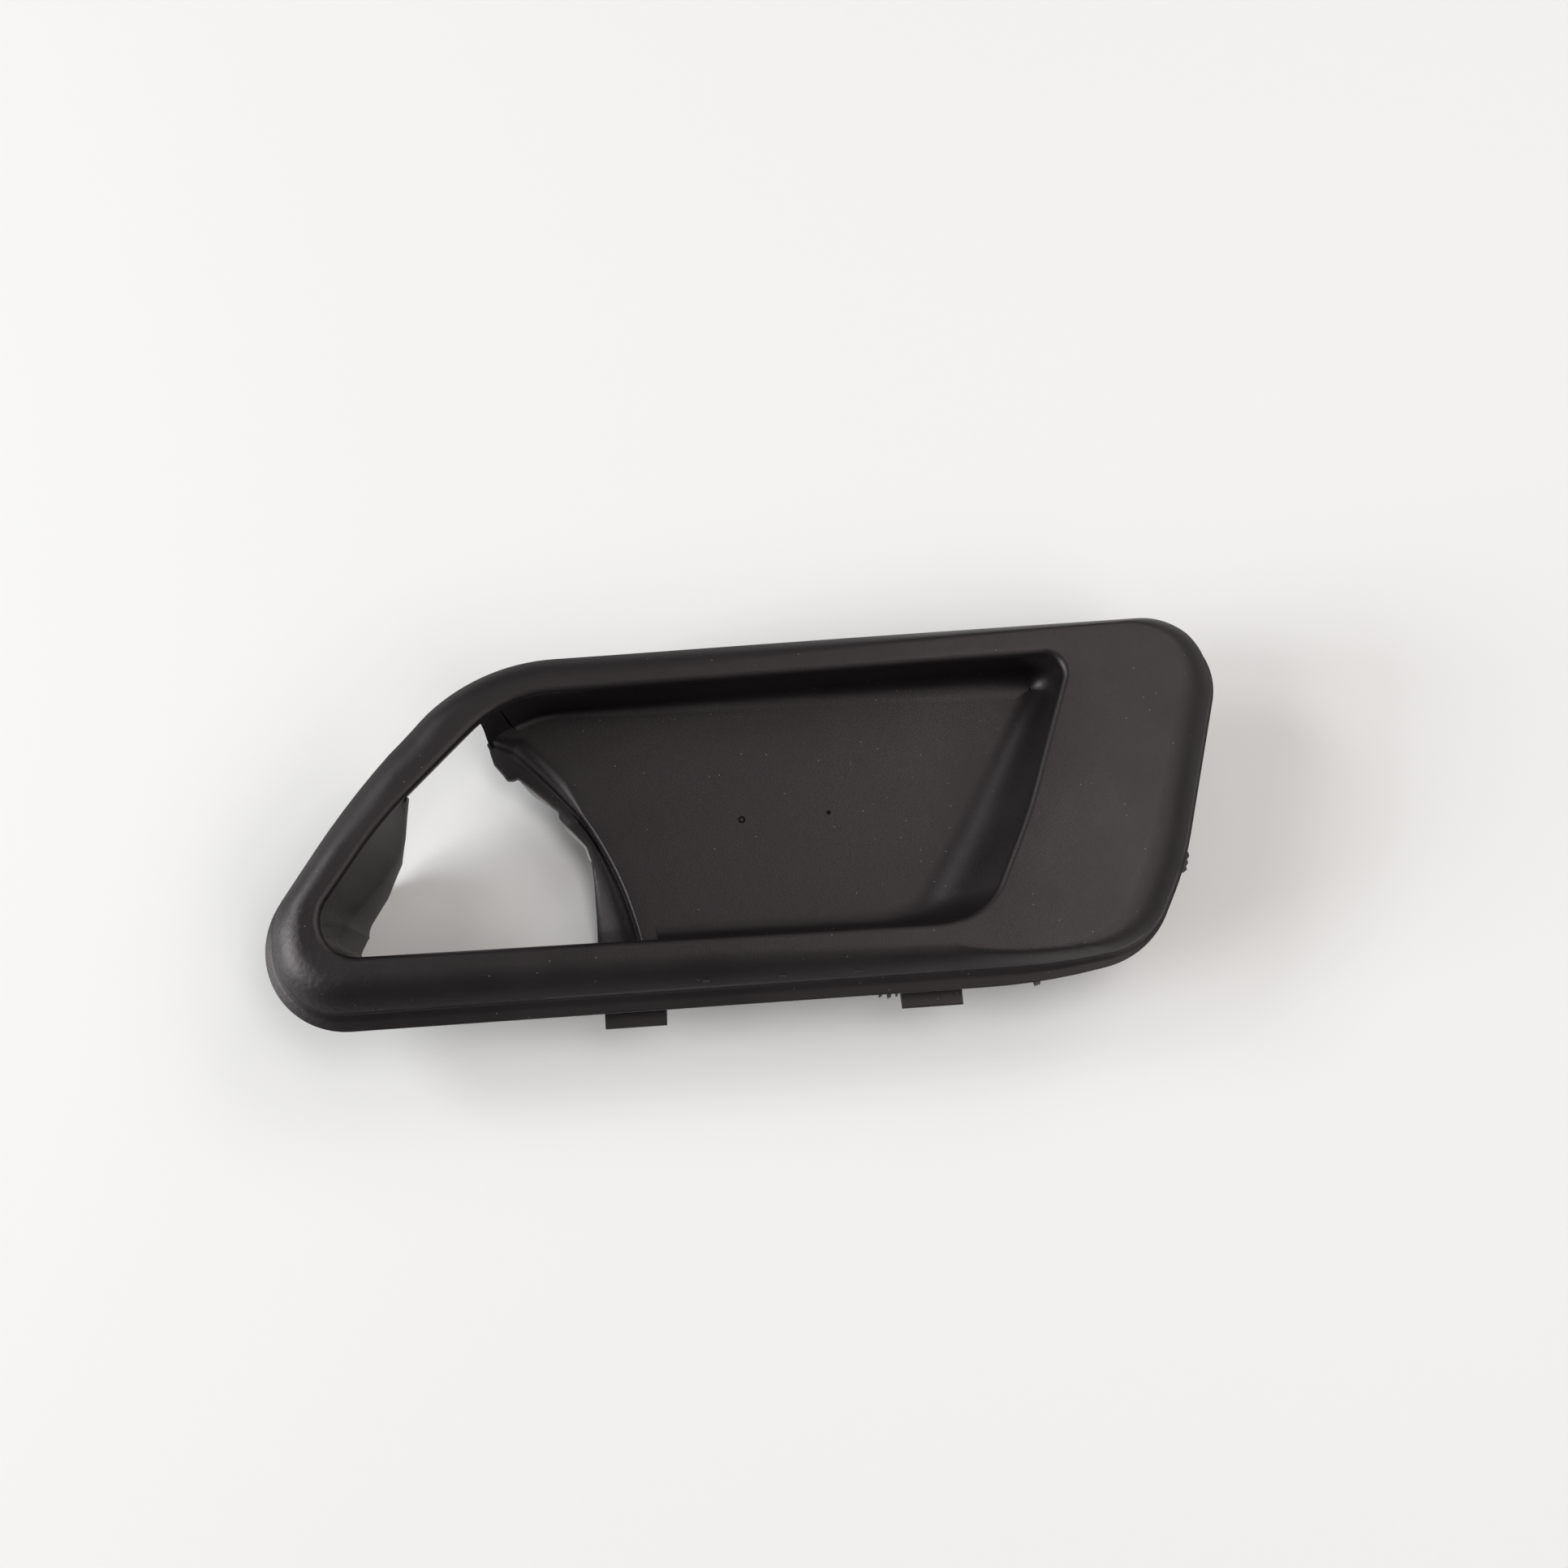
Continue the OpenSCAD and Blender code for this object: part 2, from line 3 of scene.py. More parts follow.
import logging
import math
from collections.abc import Sequence
from dataclasses import dataclass
from enum import Enum

import bpy
import numpy as np
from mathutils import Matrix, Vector

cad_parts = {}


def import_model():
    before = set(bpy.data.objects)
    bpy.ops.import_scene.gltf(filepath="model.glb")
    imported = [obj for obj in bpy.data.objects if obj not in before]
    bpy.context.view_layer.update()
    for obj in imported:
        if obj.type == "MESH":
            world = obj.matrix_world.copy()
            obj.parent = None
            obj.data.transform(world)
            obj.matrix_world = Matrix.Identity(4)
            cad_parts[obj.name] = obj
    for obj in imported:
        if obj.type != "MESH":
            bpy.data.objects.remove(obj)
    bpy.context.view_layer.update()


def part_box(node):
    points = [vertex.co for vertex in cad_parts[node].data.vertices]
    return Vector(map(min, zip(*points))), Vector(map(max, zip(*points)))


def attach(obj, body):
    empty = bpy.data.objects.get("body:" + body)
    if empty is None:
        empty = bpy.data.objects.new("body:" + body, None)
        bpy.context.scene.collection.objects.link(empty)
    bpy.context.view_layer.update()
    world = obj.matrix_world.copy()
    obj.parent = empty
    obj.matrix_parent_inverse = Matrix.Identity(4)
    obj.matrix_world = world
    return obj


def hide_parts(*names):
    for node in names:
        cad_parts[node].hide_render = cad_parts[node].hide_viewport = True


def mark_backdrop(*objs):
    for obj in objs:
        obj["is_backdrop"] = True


MM = 0.001
NODE = "trim_cover"
BODY = "root"

log = logging.getLogger("trim_cover")

Colour = tuple[float, float, float, float]
Place = tuple[float, float, float]
Skin = tuple[np.ndarray, list[tuple[int, ...]]]
Socket = bpy.types.NodeSocket
Table = Sequence[tuple[float, float]]


class Corner(Enum):
    """The corners of an outline, anticlockwise from the narrow tip."""

    TIP = 0
    TOE = 1
    HEEL = 2
    BEND = 3
    END = 4
    SHOULDER = 5
    KNEE = 6


def unit(v: np.ndarray) -> np.ndarray:
    """Scales a vector to length one."""
    return v / np.linalg.norm(v)


def heading(angle: float) -> np.ndarray:
    """Gives the direction at an angle in radians."""
    return np.array([math.cos(angle), math.sin(angle)])


def lookup(x: float | np.ndarray, table: Table) -> float | np.ndarray:
    """Reads values between the entries of a table of places and values, in rising order."""
    return np.interp(x, [a for a, _ in table], [b for _, b in table])


def smooth(f: float | np.ndarray) -> float | np.ndarray:
    """Eases a share from 0 to 1, flat at both ends."""
    f = np.clip(f, 0.0, 1.0)
    return f * f * (3.0 - 2.0 * f)


@dataclass(frozen=True)
class Arc:
    """A rounded corner: its centre, radius, first angle and sweep, in radians."""

    centre: np.ndarray
    r: float
    start: float
    sweep: float

    def point(self, angle: float) -> np.ndarray:
        """Gives the arc's point at an angle."""
        return self.centre + self.r * heading(angle)


@dataclass(frozen=True)
class OutlineSizes:
    """The sizes that fix an outline with seven rounded corners, in millimetres and degrees."""

    left: float
    right: float
    low_left: float
    low_right: float
    top_left: float
    top_right: float
    tip_r: float
    slope_low: float
    knee_y: float
    knee_r: float
    slope_high: float
    shoulder_r: float
    end_r: float
    end_high: float
    bend_y: float
    bend_r: float
    end_low: float
    heel_y: float
    heel_r: float
    heel_slope: float
    toe_r: float

    def corners(self) -> list[tuple[np.ndarray, float]]:
        """Works out where the outline's straight runs cross.

        Returns:
            Each corner's place and radius, in the order of Corner.
        """
        def run(rise: float, slope: float) -> float:
            """Gives the run of a slope over a rise."""
            return rise / math.tan(math.radians(slope))

        def inset(r: float, slope: float) -> float:
            """Gives how far a corner lies outside its own arc."""
            return r * math.tan(math.radians(90.0 - slope / 2.0)) - r

        tip = self.left - inset(self.tip_r, self.slope_low)
        knee = tip + run(self.knee_y - self.low_left, self.slope_low)
        shoulder = knee + run(self.top_left - self.knee_y, self.slope_high)
        end = self.right + inset(self.end_r, self.end_high)
        bend = end - run(self.top_right - self.bend_y, self.end_high)
        heel = bend - run(self.bend_y - self.heel_y, self.end_low)
        toe = heel - run(self.heel_y - self.low_right, self.heel_slope)
        return [
            (np.array([tip, self.low_left]), self.tip_r),
            (np.array([toe, self.low_right]), self.toe_r),
            (np.array([heel, self.heel_y]), self.heel_r),
            (np.array([bend, self.bend_y]), self.bend_r),
            (np.array([end, self.top_right]), self.end_r),
            (np.array([shoulder, self.top_left]), self.shoulder_r),
            (np.array([knee, self.knee_y]), self.knee_r),
        ]

    def arcs(self) -> list[Arc]:
        """Fits an arc into each corner.

        Returns:
            The arcs, in the order of Corner.
        """
        corners = self.corners()
        arcs = []
        for i, (p, r) in enumerate(corners):
            back = unit(corners[i - 1][0] - p)
            onward = unit(corners[(i + 1) % len(corners)][0] - p)
            half = math.acos(float(back @ onward)) / 2.0
            centre = p + unit(back + onward) * r / math.sin(half)
            first = p + back * r / math.tan(half) - centre
            arcs.append(Arc(centre, r, math.atan2(first[1], first[0]), math.pi - 2.0 * half))
        return arcs


@dataclass
class Line:
    """A line of points with outward directions; station counts corners, with shares between."""

    points: np.ndarray
    normals: np.ndarray
    station: np.ndarray

    def ring(self, out: float | np.ndarray, z: float | np.ndarray) -> np.ndarray:
        """Moves the line outwards and sets its height.

        Args:
            out: Distance outwards, one for all points or one each.
            z: Height, one for all points or one each.

        Returns:
            The points in space.
        """
        out = np.broadcast_to(np.asarray(out, float), len(self.points))
        z = np.broadcast_to(np.asarray(z, float), len(self.points))
        return np.column_stack([self.points + self.normals * out[:, None], z])

    def stretch(self, first: float, last: float) -> "Line":
        """Cuts out the stretch between two stations."""
        keep = (self.station >= first) & (self.station <= last)
        return Line(self.points[keep], self.normals[keep], self.station[keep])

    def lengths(self) -> np.ndarray:
        """Gives the distance of each point from the first, along the line."""
        steps = np.linalg.norm(np.diff(self.points, axis=0), axis=1)
        return np.concatenate([[0.0], np.cumsum(steps)])

    def at(self, s: float) -> tuple[np.ndarray, np.ndarray]:
        """Finds a place on the line.

        Args:
            s: Distance from the first point, along the line.

        Returns:
            The point and its outward direction.
        """
        marks = self.lengths()
        point = np.array([np.interp(s, marks, self.points[:, k]) for k in (0, 1)])
        normal = np.array([np.interp(s, marks, self.normals[:, k]) for k in (0, 1)])
        return point, unit(normal)


def rounded(sizes: OutlineSizes, pattern: OutlineSizes, turn_step: float, run_step: float) -> Line:
    """Samples an outline so that it pairs point for point with another.

    Args:
        sizes: The outline to sample.
        pattern: The outline whose turns and runs set how many points there are.
        turn_step: Widest turn between two points, in degrees.
        run_step: Longest straight step between two points, in millimetres.

    Returns:
        The sampled line.
    """
    fewest_turns, fewest_runs = 5, 2
    points, normals, station = [], [], []
    arcs, models = sizes.arcs(), pattern.arcs()
    for i, arc in enumerate(arcs):
        after = (i + 1) % len(arcs)
        model, onward, target = models[i], models[after], arcs[after].point(arcs[after].start)
        turns = max(fewest_turns, math.ceil(math.degrees(model.sweep) / turn_step))
        for a in np.linspace(arc.start, arc.start + arc.sweep, turns + 1):
            points.append(arc.point(a))
            normals.append(heading(a))
            station.append(float(i))
        straight = onward.point(onward.start) - model.point(model.start + model.sweep)
        runs = max(fewest_runs, math.ceil(np.linalg.norm(straight) / run_step))
        for k in range(1, runs):
            points.append(points[-1] + (target - points[-1]) / (runs - k + 1))
            normals.append(normals[-1])
            station.append(i + k / runs)
    return Line(np.array(points), np.array(normals), np.array(station))


def section(place: np.ndarray, out: np.ndarray, drawn: Table) -> np.ndarray:
    """Stands a section, drawn as distances out and heights, at a place on a line."""
    return np.array([[*(place + out * x), z] for x, z in drawn])


def ring_skin(rings: list[np.ndarray], closed: bool = False) -> Skin:
    """Joins rings of points into a closed skin.

    Args:
        rings: Rings with equal counts.
        closed: Whether the last ring meets the first, as on a tyre, or both ends are flat.

    Returns:
        The skin's points and faces.
    """
    n, m = len(rings[0]), len(rings)
    faces: list[tuple[int, ...]] = []
    for a in range(m if closed else m - 1):
        b = (a + 1) % m
        for j in range(n):
            k = (j + 1) % n
            faces.append((a * n + j, a * n + k, b * n + k, b * n + j))
    if not closed:
        faces.append(tuple(range(n - 1, -1, -1)))
        faces.append(tuple((m - 1) * n + j for j in range(n)))
    return np.vstack(rings), faces


def signed_volume(skin: Skin) -> float:
    """Measures a closed skin.

    Args:
        skin: The skin's points and faces.

    Returns:
        Its volume, negative where its faces point inwards.
    """
    points, faces = skin
    total = 0.0
    for f in faces:
        a = points[f[0]]
        for k in range(1, len(f) - 1):
            total += float(a @ np.cross(points[f[k]], points[f[k + 1]]))
    return total / 6.0


def outward(skin: Skin) -> Skin:
    """Turns a closed skin's faces outwards where they point in.

    Args:
        skin: The skin's points and faces.

    Returns:
        The skin with its faces outwards.
    """
    if signed_volume(skin) < 0.0:
        return skin[0], [tuple(reversed(f)) for f in skin[1]]
    return skin


def merged(skins: list[Skin]) -> Skin:
    """Puts closed skins together as one, each with its faces outwards.

    Args:
        skins: The skins, which don't touch each other.

    Returns:
        The points and faces of all of them.
    """
    points, faces, start = [], [], 0
    for skin in skins:
        own, sides = outward(skin)
        points.append(own)
        faces += [tuple(start + k for k in f) for f in sides]
        start += len(own)
    return np.vstack(points), faces


def prism(outline: list[tuple[float, float]], low: float, high: float) -> Skin:
    """Raises a flat outline into a prism between two heights."""
    flat = np.array(outline)
    return ring_skin([np.column_stack([flat, np.full(len(flat), z)]) for z in (low, high)])


def mesh_object(name: str, skin: Skin) -> bpy.types.Object:
    """Makes an object of a skin.

    Args:
        name: The object's name.
        skin: The skin's points and faces.

    Returns:
        The object, linked to the scene.
    """
    points, faces = outward(skin)
    mesh = bpy.data.meshes.new(name)
    mesh.from_pydata([tuple(map(float, p)) for p in points], [], faces)
    mesh.update()
    piece = bpy.data.objects.new(name, mesh)
    bpy.context.scene.collection.objects.link(piece)
    return piece


@dataclass
class Shape:
    """The levels, outlines and lines that the cover's parts share, in millimetres."""

    x_tip: float
    x_end: float
    y_low: float
    y_top: float
    z_face: float
    wall: float = 1.8
    face: float = 2.4
    overlap: float = 0.3
    turn_step: float = 3.0
    run_step: float = 2.5
    lip_out: float = 2.6
    lip_out_end: float = 0.9
    lip_out_top: float = 0.5
    lip_depth: float = 6.2
    roll_r: float = 1.2
    seat_drop: float = 0.5
    well_depth: float = 11.0
    draft: float = 0.9
    ramp_foot: float = 1.4
    crest_start: tuple[float, float] = (121.1, 2.65)
    crest_finish: float = 97.0
    crest_sink: float = 0.4
    crest_bulge: float = 4.5
    crest_bulge_way: tuple[float, float] = (1.0, 0.6)

    def __post_init__(self) -> None:
        """Works out the levels and lines."""
        self.z_floor = self.z_face - self.well_depth
        self.z_lip = self.z_face - self.lip_depth
        self.z_seat = self.z_face - self.roll_r - self.seat_drop
        lip, mouth = self.lip_sizes(), self.mouth_sizes()
        step = (self.turn_step, self.run_step)
        self.lip_line = rounded(lip, lip, *step)
        self.mouth_line = rounded(mouth, lip, *step)
        self.floor_line = rounded(self.floor_sizes(mouth), lip, *step)
        along, below = self.crest_start
        self.crest_from = np.array([self.x_end - along, mouth.top_left - below])
        sunk = mouth.low_left - self.crest_sink * self.wall
        self.crest_to = np.array([self.x_end - self.crest_finish, sunk])
        middle = (self.crest_from + self.crest_to) / 2.0
        self.crest_mid = middle + 2.0 * self.crest_bulge * unit(np.array(self.crest_bulge_way))

    def lip_sizes(self) -> OutlineSizes:
        """Gives the sizes of the lip's rim."""
        return OutlineSizes(
            left=self.x_tip, right=self.x_end, low_left=self.y_low, low_right=self.y_low,
            top_left=self.y_top, top_right=self.y_top, tip_r=13.6, slope_low=56.0,
            knee_y=self.y_low + 37.5, knee_r=110.0, slope_high=45.5, shoulder_r=32.0, end_r=11.5,
            end_high=73.6, bend_y=self.y_low + 17.4, bend_r=50.0, end_low=62.0,
            heel_y=self.y_low + 3.2, heel_r=15.0, heel_slope=10.5, toe_r=100.0,
        )

    def mouth_sizes(self) -> OutlineSizes:
        """Gives the sizes of the mouth's edge."""
        return OutlineSizes(
            left=self.x_tip + 10.3, right=self.x_end - 25.8, low_left=self.y_low + 11.2,
            low_right=self.y_low + 10.2, top_left=self.y_top - 7.4, top_right=self.y_top - 6.3,
            tip_r=6.1, slope_low=54.4, knee_y=self.y_low + 32.6, knee_r=60.0, slope_high=43.8,
            shoulder_r=19.0, end_r=3.1, end_high=69.6, bend_y=self.y_low + 27.4, bend_r=80.0,
            end_low=64.0, heel_y=self.y_low + 11.6, heel_r=10.0, heel_slope=10.5, toe_r=15.0,
        )

    def floor_sizes(self, mouth: OutlineSizes) -> OutlineSizes:
        """Gives the sizes of the well's floor, drafted in from the mouth.

        Args:
            mouth: The mouth's sizes.

        Returns:
            The floor's sizes.
        """
        d = self.draft
        return OutlineSizes(
            left=mouth.left + d, right=mouth.right - self.ramp_foot, low_left=mouth.low_left + d,
            low_right=mouth.low_right + d, top_left=mouth.top_left - d / 3,
            top_right=mouth.top_right - d / 3, tip_r=mouth.tip_r - d, slope_low=mouth.slope_low,
            knee_y=mouth.knee_y, knee_r=mouth.knee_r, slope_high=mouth.slope_high,
            shoulder_r=mouth.shoulder_r - d, end_r=2.4, end_high=59.4, bend_y=mouth.bend_y,
            bend_r=mouth.bend_r, end_low=57.0, heel_y=mouth.heel_y + d, heel_r=8.0,
            heel_slope=10.5, toe_r=15.0,
        )

    def facing(self, table: Table) -> np.ndarray:
        """Reads a table by the direction, in degrees, in which each point of the lip faces."""
        normals = self.lip_line.normals
        return lookup(np.degrees(np.arctan2(normals[:, 1], normals[:, 0])) % 360.0, table)

    def crest(self, t: float) -> tuple[np.ndarray, np.ndarray]:
        """Follows the curve along which the floor turns down.

        Args:
            t: Share of the way from the shoulder to the lower rail.

        Returns:
            The place and the direction towards the lever.
        """
        a, b, c = self.crest_from, self.crest_mid, self.crest_to
        place = a * (1 - t) ** 2 + b * 2 * t * (1 - t) + c * t * t
        way = unit((b - a) * (1 - t) + (c - b) * t)
        way = unit(way * (1 - t * t) + np.array([0.0, -1.0]) * t * t)
        return place, np.array([way[1], -way[0]])

    def end_x(self, y: float) -> float:
        """Gives the wide end's X at a place across the cover.

        Args:
            y: The place across.

        Returns:
            The X of the straight through the wide end.
        """
        corners = self.lip_sizes().corners()
        a, b = corners[Corner.BEND.value][0], corners[Corner.END.value][0]
        return float(a[0] + (b[0] - a[0]) * (y - a[1]) / (b[1] - a[1]))


@dataclass
class Frame:
    """The rails round the mouth: lip, crown, flat face and rolled edge, in millimetres."""

    shape: Shape
    lip_t: float = 0.8
    lip_edge: float = 0.2
    lip_rise: float = 0.7
    lip_climb: float = 0.7
    crown_h: float = 4.2
    crown_power: float = 2.0
    crown_ease: float = 18.0
    crown_share: float = 0.8
    crown_most: float = 0.95
    crown_reach: Table = (
        (0, 6.6), (45, 5.6), (90, 6.5), (260, 6.5), (285, 7.0), (310, 7.6), (335, 7.2), (360, 6.6),
    )
    step: tuple[float, float] = (0.8, 2.2)
    step_share: Table = (
        (0, 0.25), (45, 0.7), (90, 1.0), (135, 1.0), (225, 0.0), (300, 0.0), (335, 0.15), (360, 0.25),
    )
    step_lean: tuple[float, float] = (0.12, 0.3)
    under_w: float = 4.5
    undercut: float = 0.25
    burr_root: float = 0.7
    burr_levels: tuple[float, float] = (0.1, 0.6)
    burr_teeth: tuple[float, ...] = (0.35, 1.0, 0.55, 0.9, 0.4, 0.75, 0.3)
    burrs: tuple[tuple[float, float, float, float], ...] = (
        (70.4, -10.9, 3.4, 0.6), (43.9, -28.2, 1.1, 0.7), (18.9, -28.4, 0.5, 0.5),
        (20.3, -28.5, 0.7, 0.8), (21.5, -28.5, 0.4, 0.6),
    )

    def __post_init__(self) -> None:
        """Works out the lines between which the crown and the face lie."""
        lip, mouth = self.shape.lip_line, self.shape.mouth_line
        self.reach = self.lip_reach()
        self.crease = lip.points - lip.normals * self.reach[:, None]
        self.brow = mouth.points + mouth.normals * self.shape.roll_r
        self.rail = np.linalg.norm(self.brow - self.crease, axis=1)
        self.z_top = self.shape.z_lip + self.lip_t
        self.z_foot = self.shape.z_face - self.crown_h

    def lip_reach(self) -> np.ndarray:
        """Gives the width of the lip, which is broad below and round the tip and dies out above.

        Returns:
            The width at each point of the lip.
        """
        out, end, top = self.shape.lip_out, self.shape.lip_out_end, self.shape.lip_out_top
        return self.shape.facing([
            (0, end), (16, end), (45, top), (134, top), (146, top + 0.15 * (out - top)),
            (180, top + 0.7 * (out - top)), (225, top + 0.85 * (out - top)), (265, out), (271, out),
            (281, end + 0.55 * (out - end)), (333, end), (360, end),
        ])

    def between(self, reach: float | np.ndarray, z: float | np.ndarray) -> np.ndarray:
        """Sets a ring on the way from the crease to the brow.

        Args:
            reach: Distance from the crease, one for all points or one each.
            z: Height of the ring.

        Returns:
            The ring's points.
        """
        share = np.minimum(np.asarray(reach) / self.rail, 1.0)[:, None]
        flat = self.crease * (1.0 - share) + self.brow * share
        return np.column_stack([flat, np.broadcast_to(np.asarray(z, float), len(flat))])

    def eased(self, widths: np.ndarray) -> np.ndarray:
        """Evens out a width round the whole ring, so that the crown shows no kink.

        Args:
            widths: The width at each point of the ring.

        Returns:
            The evened widths, never wider than nearly the whole rail.
        """
        steps = np.linalg.norm(np.roll(self.crease, -1, axis=0) - self.crease, axis=1)
        marks = np.concatenate([[0.0], np.cumsum(steps)])
        apart = np.abs(marks[:-1, None] - marks[None, :-1])
        apart = np.minimum(apart, marks[-1] - apart)
        weight = np.exp(-((apart / self.crown_ease) ** 2)) * steps[None, :]
        return np.minimum(weight @ widths / weight.sum(axis=1), self.rail * self.crown_most)

    def lip_rings(self) -> list[np.ndarray]:
        """Draws the lip.

        Returns:
            Its rings, from the rim to the crease.
        """
        lip, edge, rise, z_lip = self.shape.lip_line, self.lip_edge, self.lip_rise, self.shape.z_lip
        rings = [lip.ring(-edge, z_lip), lip.ring(0.0, z_lip + edge)]
        for a in np.radians([0.0, 30.0, 60.0, 90.0]):
            rings.append(lip.ring(-edge * (1 - math.cos(a)), self.z_top - edge * (1 - math.sin(a))))
        for f in np.linspace(0.15, 0.95, 9):
            climb = (self.z_foot - self.z_top - rise) * smooth((f - 0.5) / 0.5) * self.lip_climb
            rings.append(lip.ring(-edge - (self.reach - edge) * f, self.z_top + rise * f + climb))
        return rings

    def crown_rings(self) -> list[np.ndarray]:
        """Draws the upright edge, low where the lip is broad, the crown over it and the flat face.

        Returns:
            The rings, from the crease to the brow.
        """
        low, high = self.step
        step = low + (high - low) * self.shape.facing(self.step_share)
        lean = self.step_lean[0] + self.step_lean[1] * (step - low)
        wanted = self.shape.facing(self.crown_reach)
        crown = self.eased(np.minimum(wanted, self.rail * self.crown_share))
        rings = [self.between(lean * f, self.z_foot + step * f) for f in (0.0, 0.4, 0.8)]
        for f in np.linspace(0.0, 1.0, 15):
            risen = 1.0 - (1.0 - f) ** self.crown_power
            level = self.z_foot + step + (self.crown_h - step) * risen
            rings.append(self.between(lean + (crown - lean) * f, level))
        for f in (0.25, 0.5, 0.75):
            rings.append(self.between(crown + (self.rail - crown) * f, self.shape.z_face))
        return rings

    def inner_rings(self) -> list[np.ndarray]:
        """Draws the rolled edge of the mouth and the hollow underside.

        Returns:
            The rings, from the brow to the foot of the outer wall.
        """
        shape, r = self.shape, self.shape.roll_r
        rings = []
        for a in np.radians(np.arange(0.0, 91.0, 10.0)):
            level = shape.z_face - r * (1 - math.cos(a))
            rings.append(shape.mouth_line.ring(r * (1 - math.sin(a)), level))
        under = shape.z_face - shape.face
        return rings + [
            shape.mouth_line.ring(self.undercut, under), self.between(shape.wall + self.under_w, under),
            self.between(shape.wall, under - self.crown_h / 4), self.between(shape.wall, shape.z_lip),
        ]

    def skin(self) -> Skin:
        """Lofts the rails from the lip's rim over the crown to the rolled inner edge."""
        return ring_skin(self.lip_rings() + self.crown_rings() + self.inner_rings(), closed=True)

    def burr_skin(self, near: tuple[float, float], length: float, out: float) -> Skin:
        """Forms a ragged burr on the lip's rim.

        Args:
            near: The place it sits next to.
            length: Its length along the rim.
            out: How far it stands out.

        Returns:
            The burr's skin.
        """
        line = self.shape.lip_line
        i = int(np.argmin(np.linalg.norm(line.points - np.array(near), axis=1)))
        n = line.normals[i]
        side = np.array([-n[1], n[0]])
        middle = line.points[i] + side * float((np.array(near) - line.points[i]) @ side)
        last = len(self.burr_teeth) - 1
        outline = [tuple(middle + side * length * (k / last - 0.5) + n * out * tooth)
                   for k, tooth in enumerate(self.burr_teeth)]
        outline += [tuple(middle + side * length * half - n * self.burr_root) for half in (0.5, -0.5)]
        low, high = self.burr_levels
        return prism(outline, self.shape.z_lip + low, self.shape.z_lip + high)


@dataclass
class Well:
    """The bowl of the finger well, in millimetres; the fillets are those of its foot at each corner."""

    shape: Shape
    fillets: tuple[float, ...] = (4.0, 4.0, 4.0, 4.2, 4.2, 1.2, 1.2)
    foot_share: float = 0.92

    def skin(self, grow: float, rim: float) -> Skin:
        """Forms the bowl as a solid.

        Args:
            grow: Thickness laid on its outside, nothing for its hollow.
            rim: Height of its flat top.

        Returns:
            The skin of the bowl.
        """
        mouth, floor, z_seat = self.shape.mouth_line, self.shape.floor_line, self.shape.z_seat
        corners = [*self.fillets, self.fillets[0]]
        curl = np.interp(floor.station, np.arange(len(corners)), corners)
        f = (1 - curl / (z_seat - self.shape.z_floor))[:, None]
        out, z_foot = self.shape.overlap + grow, self.shape.z_floor - grow
        upper = mouth.points + mouth.normals * out
        lower = floor.points + floor.normals * grow
        start = np.column_stack([upper * (1 - f) + lower * f, z_seat * (1 - f) + z_foot * f])
        foot = floor.ring(grow, z_foot)
        bottom = floor.ring(grow - curl * self.foot_share, z_foot)
        rings = []
        for t in np.linspace(0.0, 1.0, 13):
            rings.append(bottom * (1 - t) ** 2 + foot * 2 * t * (1 - t) + start * t * t)
        for t in (0.25, 0.5, 0.75):
            rings.append(start * (1 - t) + mouth.ring(out, z_seat) * t)
        return ring_skin(rings + [mouth.ring(out, z_seat), mouth.ring(out, rim)])


